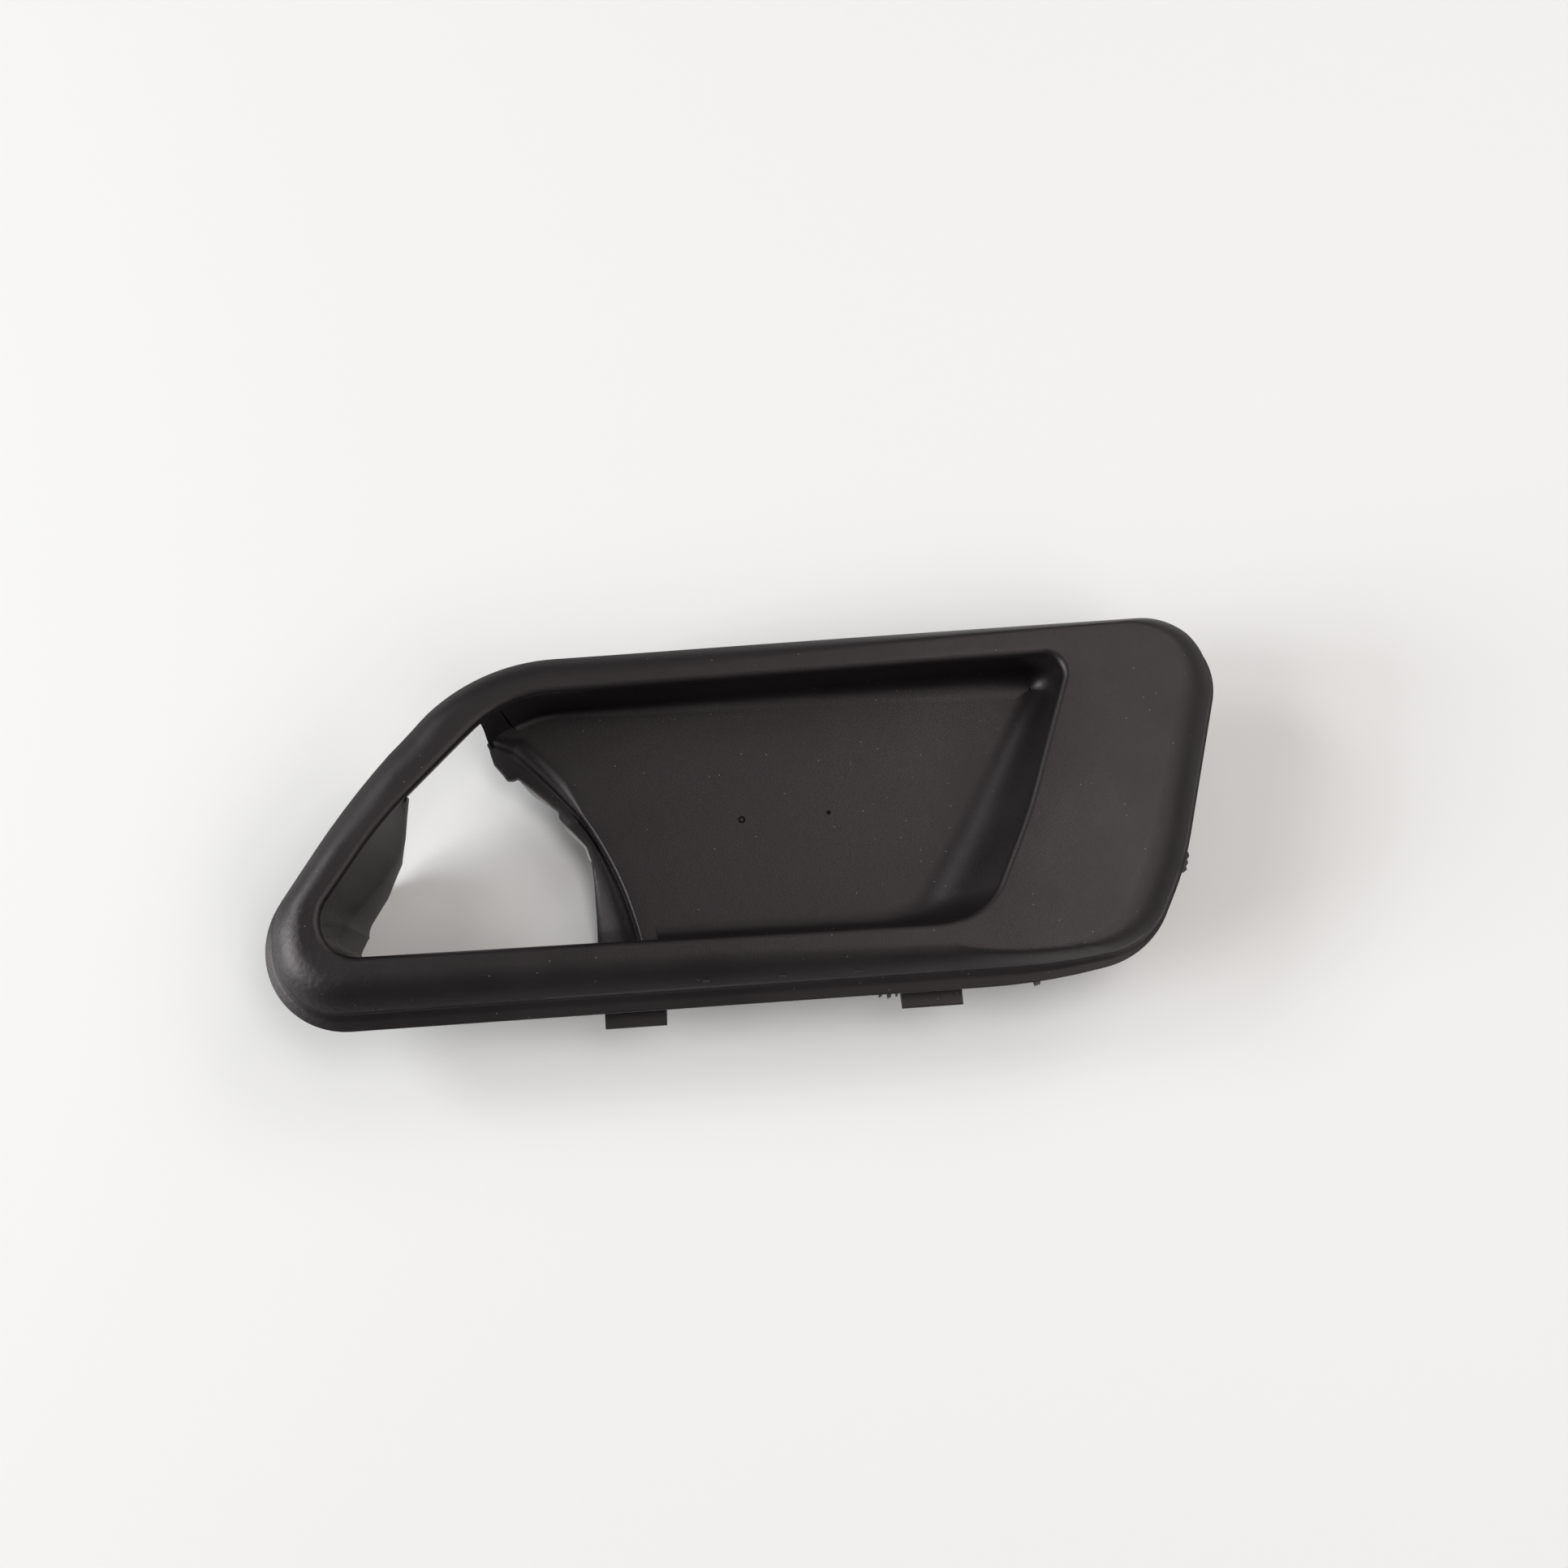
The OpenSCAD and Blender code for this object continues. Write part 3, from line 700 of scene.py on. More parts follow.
@dataclass
class Ledge:
    """The crest where the floor turns down, the drop and the torn ledge below it, in millimetres.

    The tables read along the crest, as shares of its length from the shoulder to the lower rail.
    """

    shape: Shape
    narrow: float = 2.6
    edge: Table = (
        (0, -1.1), (0.03, 0.2), (0.06, 1.2), (0.12, 1.75), (0.138, 2.0), (0.16, 1.3), (0.168, 0.6),
        (0.27, 0.3), (0.378, -0.1), (0.4, 0.5), (0.43, 0.4), (0.56, -0.3), (0.62, 0.4), (0.66, 1.0),
        (0.79, 3.1), (0.95, 5.25), (1, 5.4),
    )
    crest_r: Table = ((0, 0.5), (0.1, 3.2), (0.32, 2.6), (0.46, 0.5), (1, 0.4))
    steep: Table = ((0, 84), (0.09, 64), (0.3, 72), (0.5, 84), (1, 84))
    groove: Table = ((0, 0.1), (0.1, 1.3), (0.3, 0.5), (0.45, 0.12), (1, 0.12))
    drop: Table = ((0, 3.2), (0.45, 3.2), (1, 6.4))
    ridge: Table = ((0.36, 0), (0.46, 1), (0.9, 1), (1, 0))
    ridge_h: float = 0.3
    fall: tuple[float, float] = (0.12, 0.03)
    least_room: float = 0.3
    shelf_end: float = 0.1
    crest_back: float = 0.8
    skim: float = 0.004
    root: float = 3.4
    root_share: float = 0.85
    under_root: float = 2.6
    under_back: float = 0.5
    under_least: float = 0.2
    edge_steps: tuple[float, float] = (0.15, 1.2)
    edge_lean: float = 0.1
    opening_back: float = 2.9
    opening_first: tuple[float, float] = (0.2, 0.5)
    opening_way: tuple[float, float] = (-0.57, 0.82)
    opening_far: float = 9.0
    opening_clear: float = 1.0
    wall_run: tuple[float, float] = (0.59, 0.85)
    wall_more: float = 0.07
    wall_less: float = 0.06
    wall_foot: float = 3.0
    wall_skim: float = 0.04
    flash_drop: float = 4.3
    flash_out: float = 0.75
    flash_root: float = 0.5
    flash_t: float = 0.3
    flash_runs: tuple[tuple[float, float], ...] = ((0.17, 0.375), (0.405, 0.62))
    flash_wave: tuple[float, float, float] = (0.8, 0.2, 31.0)

    def width(self, t: float) -> float:
        """Gives the distance from the crest to the ledge's torn edge."""
        return lookup(t, [(a, self.narrow + more) for a, more in self.edge])

    def drawn(self, t: float) -> list[tuple[float, float]]:
        """Draws the ledge's section: rounded crest, steep drop, groove, ridge, edge and underside.

        Args:
            t: Share of the way along the crest.

        Returns:
            Points as distance out from the crest and height above the floor.
        """
        r, hollow, drop = lookup(t, self.crest_r), lookup(t, self.groove), lookup(t, self.drop)
        steep = math.radians(lookup(t, self.steep))
        ridge = self.ridge_h * lookup(t, self.ridge)
        start = 1.0 - float(smooth(t / self.shelf_end)) - self.crest_back * r
        place = [(-self.root, -self.skim)]
        for a in np.linspace(0.0, steep, 9):
            place.append((start + r * math.sin(a), -self.skim - r * (1.0 - math.cos(a))))
        x, z = place[-1]
        run = (drop + z - hollow) / math.tan(steep)
        x_foot, z_foot = x + max(run, 0.0), -drop + hollow
        place.append((x_foot, z_foot))
        for f in (0.35, 0.7, 1.0):
            a = f * math.pi / 2
            place.append((x_foot + hollow * (1.0 - math.cos(a)), z_foot - hollow * math.sin(a)))
        x = place[-1][0]
        room = max(self.width(t) - x, self.least_room)
        fall = self.fall[0] * room + self.fall[1] * room * room
        for f in (0.12, 0.26, 0.42, 0.6, 0.8, 0.94):
            place.append((x + room * f, -drop + ridge * float(smooth(f / 0.3)) - fall * f * f))
        wall, torn, (upper, lower) = self.shape.wall, -drop + ridge - fall, self.edge_steps
        return place + [
            (x + room, torn - upper), (x + room + self.edge_lean, torn - lower),
            (max(x - self.under_back, self.under_least), -drop - wall), (-self.under_root, -wall),
            (-self.root, -wall * self.root_share),
        ]

    def skin(self) -> Skin:
        """Lofts the crest, the drop below it, the groove and the ledge beside the lever.

        Returns:
            The skin of the ledge.
        """
        rings = []
        for t in np.linspace(0.0, 1.0, 121):
            drawn = [(x, self.shape.z_floor + z) for x, z in self.drawn(t)]
            rings.append(section(*self.shape.crest(t), drawn))
        return ring_skin(rings)

    def opening_skin(self) -> Skin:
        """Forms the cutter that takes the lever opening out of the well.

        Returns:
            The cutter's skin.
        """
        shape, clear = self.shape, self.opening_clear
        edge = [shape.crest(t) for t in np.linspace(0.0, 1.0, 41)]
        outline = [tuple(p - n * self.opening_back) for p, n in edge]
        outline[0] = tuple(shape.crest_from + np.array(self.opening_first))
        outer = shape.crest_from + np.array(self.opening_way) * self.opening_far
        outline += [
            (outline[-1][0], shape.y_low - clear), (shape.x_tip - clear, shape.y_low - clear),
            (shape.x_tip - clear, outer[1]), tuple(outer),
        ]
        return prism(outline, -2.0 * shape.z_face, 2.0 * shape.z_face)

    def wall_skin(self) -> Skin:
        """Forms the short stretch of wall above the ledge, where the mouth bends at its shoulder.

        Returns:
            The wall's skin.
        """
        shape, mouth = self.shape, self.shape.mouth_sizes()
        line = shape.mouth_line.stretch(Corner.SHOULDER.value, Corner.SHOULDER.value + 0.1)
        arc = mouth.shoulder_r * math.radians(mouth.slope_high)
        foot = shape.z_floor - self.wall_foot
        heights = np.linspace(shape.z_seat, foot, 6)
        lean = (shape.overlap + shape.draft / 3) / (shape.z_seat - shape.z_floor)
        inner = [(shape.overlap - self.wall_skim - lean * (shape.z_seat - z), z) for z in heights]
        outer = [(shape.wall, z) for z in heights[::-1]]
        first, last = self.wall_run
        rings = []
        for f in np.linspace(0.0, 1.0, 12):
            ring = []
            for less, side in ((0.0, inner), (self.wall_less, outer)):
                for x, z in side:
                    down = float(smooth((shape.z_seat - z) / (shape.z_seat - foot)))
                    end = last + self.wall_more * down - less
                    p, n = line.at((first + (end - first) * f) * arc)
                    ring.append([*(p + n * x), z])
            rings.append(np.array(ring))
        return ring_skin(rings)

    def flash_skin(self, first: float, last: float) -> Skin:
        """Forms a thin flap of flash that hangs on the ledge's edge.

        Args:
            first: Share of the way along the crest where it starts.
            last: Share where it ends.

        Returns:
            The flap's skin.
        """
        level = self.shape.z_floor - self.flash_drop
        under = level - self.flash_t
        mean, swing, pace = self.flash_wave
        rings = []
        for f in np.linspace(0.0, 1.0, 15):
            t = first + (last - first) * f
            w = self.width(t)
            root = w - self.flash_root
            out = w + self.flash_out * math.sin(math.pi * f) ** 0.5 * (mean + swing * math.sin(pace * t))
            drawn = [(root, level), (root, under), (out, under), (out, level)]
            rings.append(section(*self.shape.crest(t), drawn))
        return ring_skin(rings)

    def flash(self, finish: bpy.types.Material) -> bpy.types.Object:
        """Builds the flaps of flash as a piece of their own, in metres.

        Args:
            finish: Their material.

        Returns:
            The piece.
        """
        points, faces = merged([self.flash_skin(*run) for run in self.flash_runs])
        piece = mesh_object("torn_flash", (points * MM, faces))
        piece.data.materials.append(finish)
        return piece


@dataclass
class Collar:
    """The wall round the lever opening, whose free end is cut off at a slant, in millimetres."""

    shape: Shape
    cut: float = 15.0
    crease: float = 14.0
    inset: float = 1.9
    bevel: float = 0.15
    least_h: float = 1.0
    bend_h: float = 0.9
    bend_share: float = 0.85
    creased_past: float = 24.0
    last_station: float = 0.9
    end_room: float = 0.5
    step: float = 0.75

    def path(self) -> Line:
        """Follows the mouth from the knee round the tip to just behind the crest.

        Returns:
            The open line.
        """
        line = self.shape.mouth_line
        slanted = np.flatnonzero(line.station >= Corner.KNEE.value)
        order = np.concatenate([slanted, np.flatnonzero(line.station <= self.last_station)])
        points, normals = line.points[order], line.normals[order]
        end = np.array([self.shape.crest_to[0] + 2 * self.shape.wall, points[-1][1]])
        keep = points[:, 0] < end[0] - self.end_room
        keep[: len(slanted)] = True
        points = np.vstack([points[keep], end])
        return Line(points, np.vstack([normals[keep], normals[-1]]), np.zeros(len(points)))

    def skin(self) -> Skin:
        """Lofts the collar from its free end on the slanted side round the tip to the ledge.

        Returns:
            The collar's skin.
        """
        cut, crease, inset, h, w = self.cut, self.crease, self.inset, self.shape.z_face, self.shape.wall
        foot_at = [(0.0, h - self.shape.face - 0.4), (cut / 3, 0.4 * h), (cut * 0.6, 0.16 * h),
                   (cut, 0.0)]
        crease_at = [(0.0, 4.0), (cut / 2, crease + 1), (cut, crease), (cut + 12, crease / 2),
                     (cut + 22, 3.0)]
        inset_at = [(0.0, 0.1), (cut / 3, 0.42 * inset), (cut * 0.6, 0.84 * inset), (cut, inset),
                    (cut + 9, 1.26 * inset), (cut + 10.6, 0.82 * inset), (cut + 12.2, 0.1),
                    (cut + 22, 0.1)]
        path, creased = self.path(), cut + self.creased_past
        seat, bevel, lap = self.shape.z_seat, self.bevel, self.shape.overlap
        plain = np.linspace(creased, path.lengths()[-1], 12)
        rings = []
        for s in [*np.arange(0.0, creased, self.step), *plain]:
            foot, sway = lookup(s, foot_at), lookup(s, inset_at)
            bend = max(foot + self.least_h, h - lookup(s, crease_at))
            rings.append(section(*path.at(s), [
                (lap, seat), (-sway * self.bend_share, bend + self.bend_h), (-sway, bend),
                (-sway, foot + bevel), (bevel - sway, foot), (w - bevel - sway, foot),
                (w - sway, foot + bevel), (w - sway, bend), (w + lap, seat),
            ]))
        return ring_skin(rings)


def row_values(name: str, first: Place, pitch: Place, count: int) -> dict[str, object]:
    """Names the first place, the pitch and the count of a row as the fusing tree does."""
    return {f"{name} first": first, f"{name} pitch": pitch, f"{name} count": count}


@dataclass(frozen=True)
class Clip:
    """A leg under the lip, back from its rim, with a hook that stands out, in millimetres."""

    width: float
    out: float
    back: float
    gap: float
    height: float
    past: float = 0.4
    toe: float = 0.5
    nose_in: float = 0.25
    chamfer: float = 0.2

    def skin(self, shape: Shape, at: np.ndarray, facing: np.ndarray) -> Skin:
        """Forms the clip.

        Args:
            shape: The cover's levels and walls.
            at: The place of the clip's middle on the rim.
            facing: The direction in which the hook stands out.

        Returns:
            The clip's skin.
        """
        top, root, far = shape.z_lip - self.gap, shape.z_lip + self.past, self.back + shape.wall
        nose, back, out, edge = top - self.height / 3, self.back, -self.out, self.chamfer
        profile = [
            (far, root), (far, top - self.height), (back - self.toe, top - self.height),
            (out + self.nose_in, nose - edge), (out, nose), (out, top - edge), (out + edge, top),
            (back, top), (back, root),
        ]
        side = np.array([-facing[1], facing[0]])
        return ring_skin([section(at + side * x, -facing, profile)
                          for x in (-self.width / 2, self.width / 2)])


@dataclass
class Clips:
    """The two hooks below, the two spring legs above and the catch at the wide end."""

    shape: Shape
    hook: Clip = Clip(width=9.8, out=2.1, back=1.0, gap=2.6, height=3.0)
    leg: Clip = Clip(width=8.0, out=-0.3, back=0.9, gap=2.6, height=4.0)
    catch: Clip = Clip(width=3.6, out=0.5, back=1.0, gap=1.6, height=3.0)
    hook_places: tuple[float, float] = (58.2, 105.8)
    leg_places: tuple[float, float] = (62.0, 118.0)

    def forms(self) -> dict[str, Skin]:
        """Forms one hook and one leg, which the tree repeats, and the catch in its place.

        Returns:
            The skins by name.
        """
        bend = self.shape.lip_line.stretch(Corner.BEND.value, Corner.BEND.value)
        middle, origin = len(bend.points) // 2, np.zeros(2)
        return {
            "hook form": self.hook.skin(self.shape, origin, np.array([0.0, -1.0])),
            "leg form": self.leg.skin(self.shape, origin, np.array([0.0, 1.0])),
            "catch form": self.catch.skin(self.shape, bend.points[middle], bend.normals[middle]),
        }

    def values(self) -> dict[str, object]:
        """Gives the places of the hooks and legs by input name.

        Returns:
            The values.
        """
        values = {}
        for name, (first, last), y in (("Hook", self.hook_places, self.shape.y_low),
                                       ("Leg", self.leg_places, self.shape.y_top)):
            start = (self.shape.x_tip + first, y, 0.0)
            values.update(row_values(name, start, (last - first, 0.0, 0.0), 2))
        return values


@dataclass
class Back:
    """The screw bosses behind the wide face and the ribs behind the rails, in millimetres."""

    clips: Clips
    boss_d: float = 7.0
    bore_d: float = 2.6
    bore_depth: float = 10.0
    bore_past: float = 1.0
    boss_end: float = 13.5
    boss_pitch: float = 26.0
    boss_below: float = 2.0
    rib_t: float = 1.2
    rib_depth: float = 5.8
    rib_length: float = 11.2
    rib_count: int = 3
    boss_rib_edge: float = 0.8
    boss_rib_run: float = 4.0

    def boss_centres(self) -> list[tuple[float, float]]:
        """Places the two screw bosses.

        Returns:
            Their middles, the lower one first.
        """
        shape = self.clips.shape
        middle = (shape.y_low + shape.y_top) / 2 - self.boss_below
        ys = [middle - self.boss_pitch / 2, middle + self.boss_pitch / 2]
        return [(shape.end_x(y) - self.boss_end, y) for y in ys]

    def boss_rib_skin(self) -> Skin:
        """Forms the two ribs that tie the screw bosses to the well and the wide end.

        Returns:
            The skin of both ribs.
        """
        shape, half = self.clips.shape, self.rib_t / 2
        low, high = shape.z_face - self.rib_depth, shape.z_face - shape.face + shape.overlap
        skins = []
        for x, y in self.boss_centres():
            end = shape.end_x(y) - shape.lip_out_end - shape.wall / 2
            side = [(0.0, low), (end, low), (end, low + self.boss_rib_edge),
                    (x + self.boss_rib_run, high), (0.0, high)]
            skins.append(ring_skin([np.array([[a, y + w, z] for a, z in side]) for w in (-half, half)]))
        return merged(skins)

    def values(self) -> dict[str, object]:
        """Gives the sizes and places of the ribs, bosses and bores by input name.

        Returns:
            The values.
        """
        shape, (first, last) = self.clips.shape, self.clips.hook_places
        rib_h = self.rib_depth - shape.face + shape.overlap
        rib_y = shape.y_low + shape.lip_out + shape.wall / 2 + self.rib_length / 2
        pitch = (last - first) / (self.rib_count + 1)
        rib_at = (shape.x_tip + first + pitch, rib_y, shape.z_face - self.rib_depth + rib_h / 2)
        low, high = self.boss_centres()
        boss_h = shape.z_face - shape.face + shape.overlap
        across = (high[0] - low[0], high[1] - low[1], 0.0)
        bore_at = (*low, (self.bore_depth - self.bore_past) / 2)
        return {
            "Rib size": (self.rib_t, self.rib_length, rib_h),
            "Boss radius": self.boss_d / 2,
            "Boss height": boss_h,
            "Bore radius": self.bore_d / 2,
            "Bore height": self.bore_depth + self.bore_past,
            **row_values("Rib", rib_at, (pitch, 0.0, 0.0), self.rib_count),
            **row_values("Boss", (*low, boss_h / 2), across, 2),
            **row_values("Bore", bore_at, across, 2),
        }


class NodeTree:
    """A thin helper round a node tree."""

    def __init__(self, tree: bpy.types.NodeTree) -> None:
        """Wraps a tree."""
        self.tree = tree

    def node(self, kind: str, inputs: dict | None = None, **settings) -> bpy.types.Node:
        """Adds a node.

        Args:
            kind: The node's type.
            inputs: Values, sockets or lists of sockets by input name or number.
            **settings: The node's own settings.

        Returns:
            The node.
        """
        node = self.tree.nodes.new(kind)
        for key, value in settings.items():
            setattr(node, key, value)
        for key, value in (inputs or {}).items():
            for one in value if isinstance(value, list) else [value]:
                if isinstance(one, Socket):
                    self.tree.links.new(one, node.inputs[key])
                else:
                    node.inputs[key].default_value = one
        return node


class FusingTree(NodeTree):
    """A Geometry Nodes tree that fuses the cover's forms, repeats its clips and ribs and marks edges."""

    SHARP = math.radians(32.0)
    ROD_SIDES = 64

    def __init__(self, name: str) -> None:
        """Starts an empty tree.

        Args:
            name: The tree's name.
        """
        super().__init__(bpy.data.node_groups.new(name, "GeometryNodeTree"))
        self.keys: dict[str, str] = {}
        self.source = self.node("NodeGroupInput")
        self.given("Geometry", "NodeSocketGeometry")
        self.tree.interface.new_socket("Geometry", in_out="OUTPUT", socket_type="NodeSocketGeometry")

    def given(self, name: str, kind: str) -> Socket:
        """Adds a named input.

        Args:
            name: The input's name.
            kind: The kind of socket.

        Returns:
            The socket that hands the input to the tree.
        """
        item = self.tree.interface.new_socket(name, in_out="INPUT", socket_type=kind)
        self.keys[name] = item.identifier
        return self.source.outputs[name]

    def form(self, name: str) -> Socket:
        """Adds an object input with a helper's name and reads its mesh."""
        info = self.node("GeometryNodeObjectInfo", {"Object": self.given(name, "NodeSocketObject")})
        return info.outputs["Geometry"]

    def row(self, form: Socket, name: str) -> Socket:
        """Repeats a form in a row, with its first place, pitch and count as named inputs.

        Args:
            form: The mesh to repeat.
            name: What is repeated, which starts the inputs' names.

        Returns:
            The repeated mesh.
        """
        line = self.node("GeometryNodeMeshLine", {
            "Start Location": self.given(f"{name} first", "NodeSocketVector"),
            "Offset": self.given(f"{name} pitch", "NodeSocketVector"),
            "Count": self.given(f"{name} count", "NodeSocketInt"),
        })
        many = self.node("GeometryNodeInstanceOnPoints", {
            "Points": line.outputs["Mesh"], "Instance": form,
        })
        return self.node("GeometryNodeRealizeInstances", {"Geometry": many.outputs[0]}).outputs[0]

    def rods(self, name: str) -> Socket:
        """Adds a row of standing rods, with their radius and height as named inputs.

        Args:
            name: What the rods are.

        Returns:
            The rods' mesh.
        """
        rod = self.node("GeometryNodeMeshCylinder", {
            "Vertices": self.ROD_SIDES, "Radius": self.given(f"{name} radius", "NodeSocketFloat"),
            "Depth": self.given(f"{name} height", "NodeSocketFloat"),
        })
        return self.row(rod.outputs["Mesh"], name)

    def cut(self, mesh: Socket, *tools: Socket) -> Socket:
        """Takes tools away from a mesh."""
        return self.node("GeometryNodeMeshBoolean", {"Mesh 1": mesh, "Mesh 2": list(tools)},
                         operation="DIFFERENCE", solver="MANIFOLD").outputs["Mesh"]

    def joined(self, *meshes: Socket) -> Socket:
        """Fuses meshes into one."""
        return self.node("GeometryNodeMeshBoolean", {"Mesh 2": list(meshes)},
                         operation="UNION", solver="MANIFOLD").outputs["Mesh"]

    def fused(self, names: list[str]) -> Socket:
        """Fuses the frame with all forms, ribs and bosses and drills the bosses.

        Args:
            names: The names of the helper objects.

        Returns:
            The fused mesh, in metres.
        """
        forms = {name: self.form(name) for name in names}
        core = forms["well core"]
        well = self.cut(forms["well form"], forms["well hollow"], forms["opening cutter"])
        cube = self.node("GeometryNodeMeshCube", {"Size": self.given("Rib size", "NodeSocketVector")})
        whole = self.joined(
            self.source.outputs["Geometry"], well, forms["ledge form"], forms["shoulder form"],
            forms["collar form"], forms["catch form"], self.row(forms["hook form"], "Hook"),
            self.row(forms["leg form"], "Leg"), self.cut(self.row(cube.outputs["Mesh"], "Rib"), core),
            self.cut(forms["boss rib form"], core), self.rods("Boss"),
            *[mesh for name, mesh in forms.items() if name.startswith("burr")],
        )
        bored = self.cut(whole, self.rods("Bore"))
        metres = self.node("GeometryNodeTransform", {"Geometry": bored, "Scale": (MM, MM, MM)})
        return metres.outputs[0]

    def close(self, mesh: Socket) -> None:
        """Marks the sharp edges, sets the material and closes the tree.

        Args:
            mesh: The fused mesh.
        """
        soft = self.node("GeometryNodeSetShadeSmooth", {"Geometry": mesh, "Shade Smooth": True})
        angle = self.node("GeometryNodeInputMeshEdgeAngle")
        wide = self.node("FunctionNodeCompare", {0: angle.outputs["Unsigned Angle"], 1: self.SHARP},
                         data_type="FLOAT", operation="GREATER_THAN")
        edged = self.node("GeometryNodeSetShadeSmooth", {
            "Geometry": soft.outputs[0], "Selection": wide.outputs[0], "Shade Smooth": False,
        }, domain="EDGE")
        real = self.node("GeometryNodeRealizeInstances", {"Geometry": edged.outputs[0]})
        dressed = self.node("GeometryNodeSetMaterial", {
            "Geometry": real.outputs[0], "Material": self.given("Material", "NodeSocketMaterial"),
        })
        self.node("NodeGroupOutput", {"Geometry": dressed.outputs[0]})

    def run(self, body: bpy.types.Object, name: str, values: dict[str, object]) -> bpy.types.Object:
        """Runs the tree on an object and keeps the result as a plain mesh.

        Args:
            body: The object that carries the modifier, removed afterwards.
            name: The new piece's name.
            values: Values by input name.

        Returns:
            The plain piece.
        """
        modifier = body.modifiers.new("fuse", "NODES")
        modifier.node_group = self.tree
        for key, value in values.items():
            modifier[self.keys[key]] = value
        graph = bpy.context.evaluated_depsgraph_get()
        piece = bpy.data.objects.new(name, bpy.data.meshes.new_from_object(body.evaluated_get(graph)))
        bpy.context.scene.collection.objects.link(piece)
        bpy.data.objects.remove(body)
        return piece


@dataclass
class Cover:
    """The whole moulding, put together from its parts."""

    shape: Shape
    seat_past: float = 0.2
    core_past: float = 1.0

    def build(self, finish: bpy.types.Material) -> bpy.types.Object:
        """Fuses all forms into one closed piece, in metres.

        Args:
            finish: The material of the whole cover.

        Returns:
            The finished piece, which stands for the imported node.
        """
        shape, frame, well, ledge = self.shape, Frame(self.shape), Well(self.shape), Ledge(self.shape)
        clips = Clips(shape)
        back = Back(clips)
        forms = {
            "well form": well.skin(shape.wall, shape.z_seat + self.seat_past),
            "well hollow": well.skin(0.0, shape.z_face + self.seat_past),
            "well core": well.skin(shape.wall / 2, shape.z_face + self.core_past),
            "opening cutter": ledge.opening_skin(),
            "ledge form": ledge.skin(),
            "shoulder form": ledge.wall_skin(),
            "collar form": Collar(shape).skin(),
            **clips.forms(),
            "boss rib form": back.boss_rib_skin(),
        }
        for k, (x, y, length, out) in enumerate(frame.burrs):
            forms[f"burr {k + 1}"] = frame.burr_skin((x, y), length, out)
        body = mesh_object("frame form", frame.skin())
        helpers = {name: mesh_object(name, skin) for name, skin in forms.items()}
        tree = FusingTree("fused moulding")
        tree.close(tree.fused(list(helpers)))
        values = {**clips.values(), **back.values(), **helpers, "Material": finish}
        piece = tree.run(body, "trim_cover_moulding", values)
        for helper in helpers.values():
            bpy.data.objects.remove(helper)
        return piece


class ShaderTree(NodeTree):
    """A helper round a tree of shader nodes."""

    def math(self, operation: str, a: object, b: object = 0.0) -> Socket:
        """Calculates with two values or sockets."""
        return self.node("ShaderNodeMath", {0: a, 1: b}, operation=operation).outputs[0]

    def place(self) -> Socket:
        """Reads the object coordinates."""
        return self.node("ShaderNodeTexCoord").outputs["Object"]

    def distance(self, place: Socket, point: Place) -> Socket:
        """Measures how far a place is from a point."""
        node = self.node("ShaderNodeVectorMath", {0: place, 1: point}, operation="DISTANCE")
        return node.outputs["Value"]

    def noise(self, place: Socket, scale: object, detail: float, roughness: float = 0.5) -> Socket:
        """Adds a noise of a scale, detail and roughness."""
        return self.node("ShaderNodeTexNoise", {
            "Vector": place, "Scale": scale, "Detail": detail, "Roughness": roughness,
        }).outputs["Fac"]

    def fade(self, value: Socket, low: float, high: float) -> Socket:
        """Turns a value into a share that rises from 0 at low to 1 at high."""
        node = self.node("ShaderNodeMapRange", {"Value": value, "From Min": low, "From Max": high},
                         interpolation_type="SMOOTHSTEP")
        return node.outputs["Result"]

    def mix(self, share: Socket, first: Colour, second: Colour) -> Socket:
        """Mixes two colours by a share of the second."""
        node = self.node("ShaderNodeMix", {0: share, 6: first, 7: second}, data_type="RGBA")
        return node.outputs[2]

    def close(self, inputs: dict) -> None:
        """Adds the surface shader, with its inputs by name, and the output."""
        surface = self.node("ShaderNodeBsdfPrincipled", inputs)
        self.node("ShaderNodeOutputMaterial", {"Surface": surface.outputs["BSDF"]})


def start_material(name: str) -> tuple[bpy.types.Material, ShaderTree]:
    """Starts a material with an empty tree.

    Args:
        name: The material's name.

    Returns:
        The material and its wrapped tree.
    """
    material = bpy.data.materials.new(name)
    material.use_nodes = True
    material.node_tree.nodes.clear()
    return material, ShaderTree(material.node_tree)


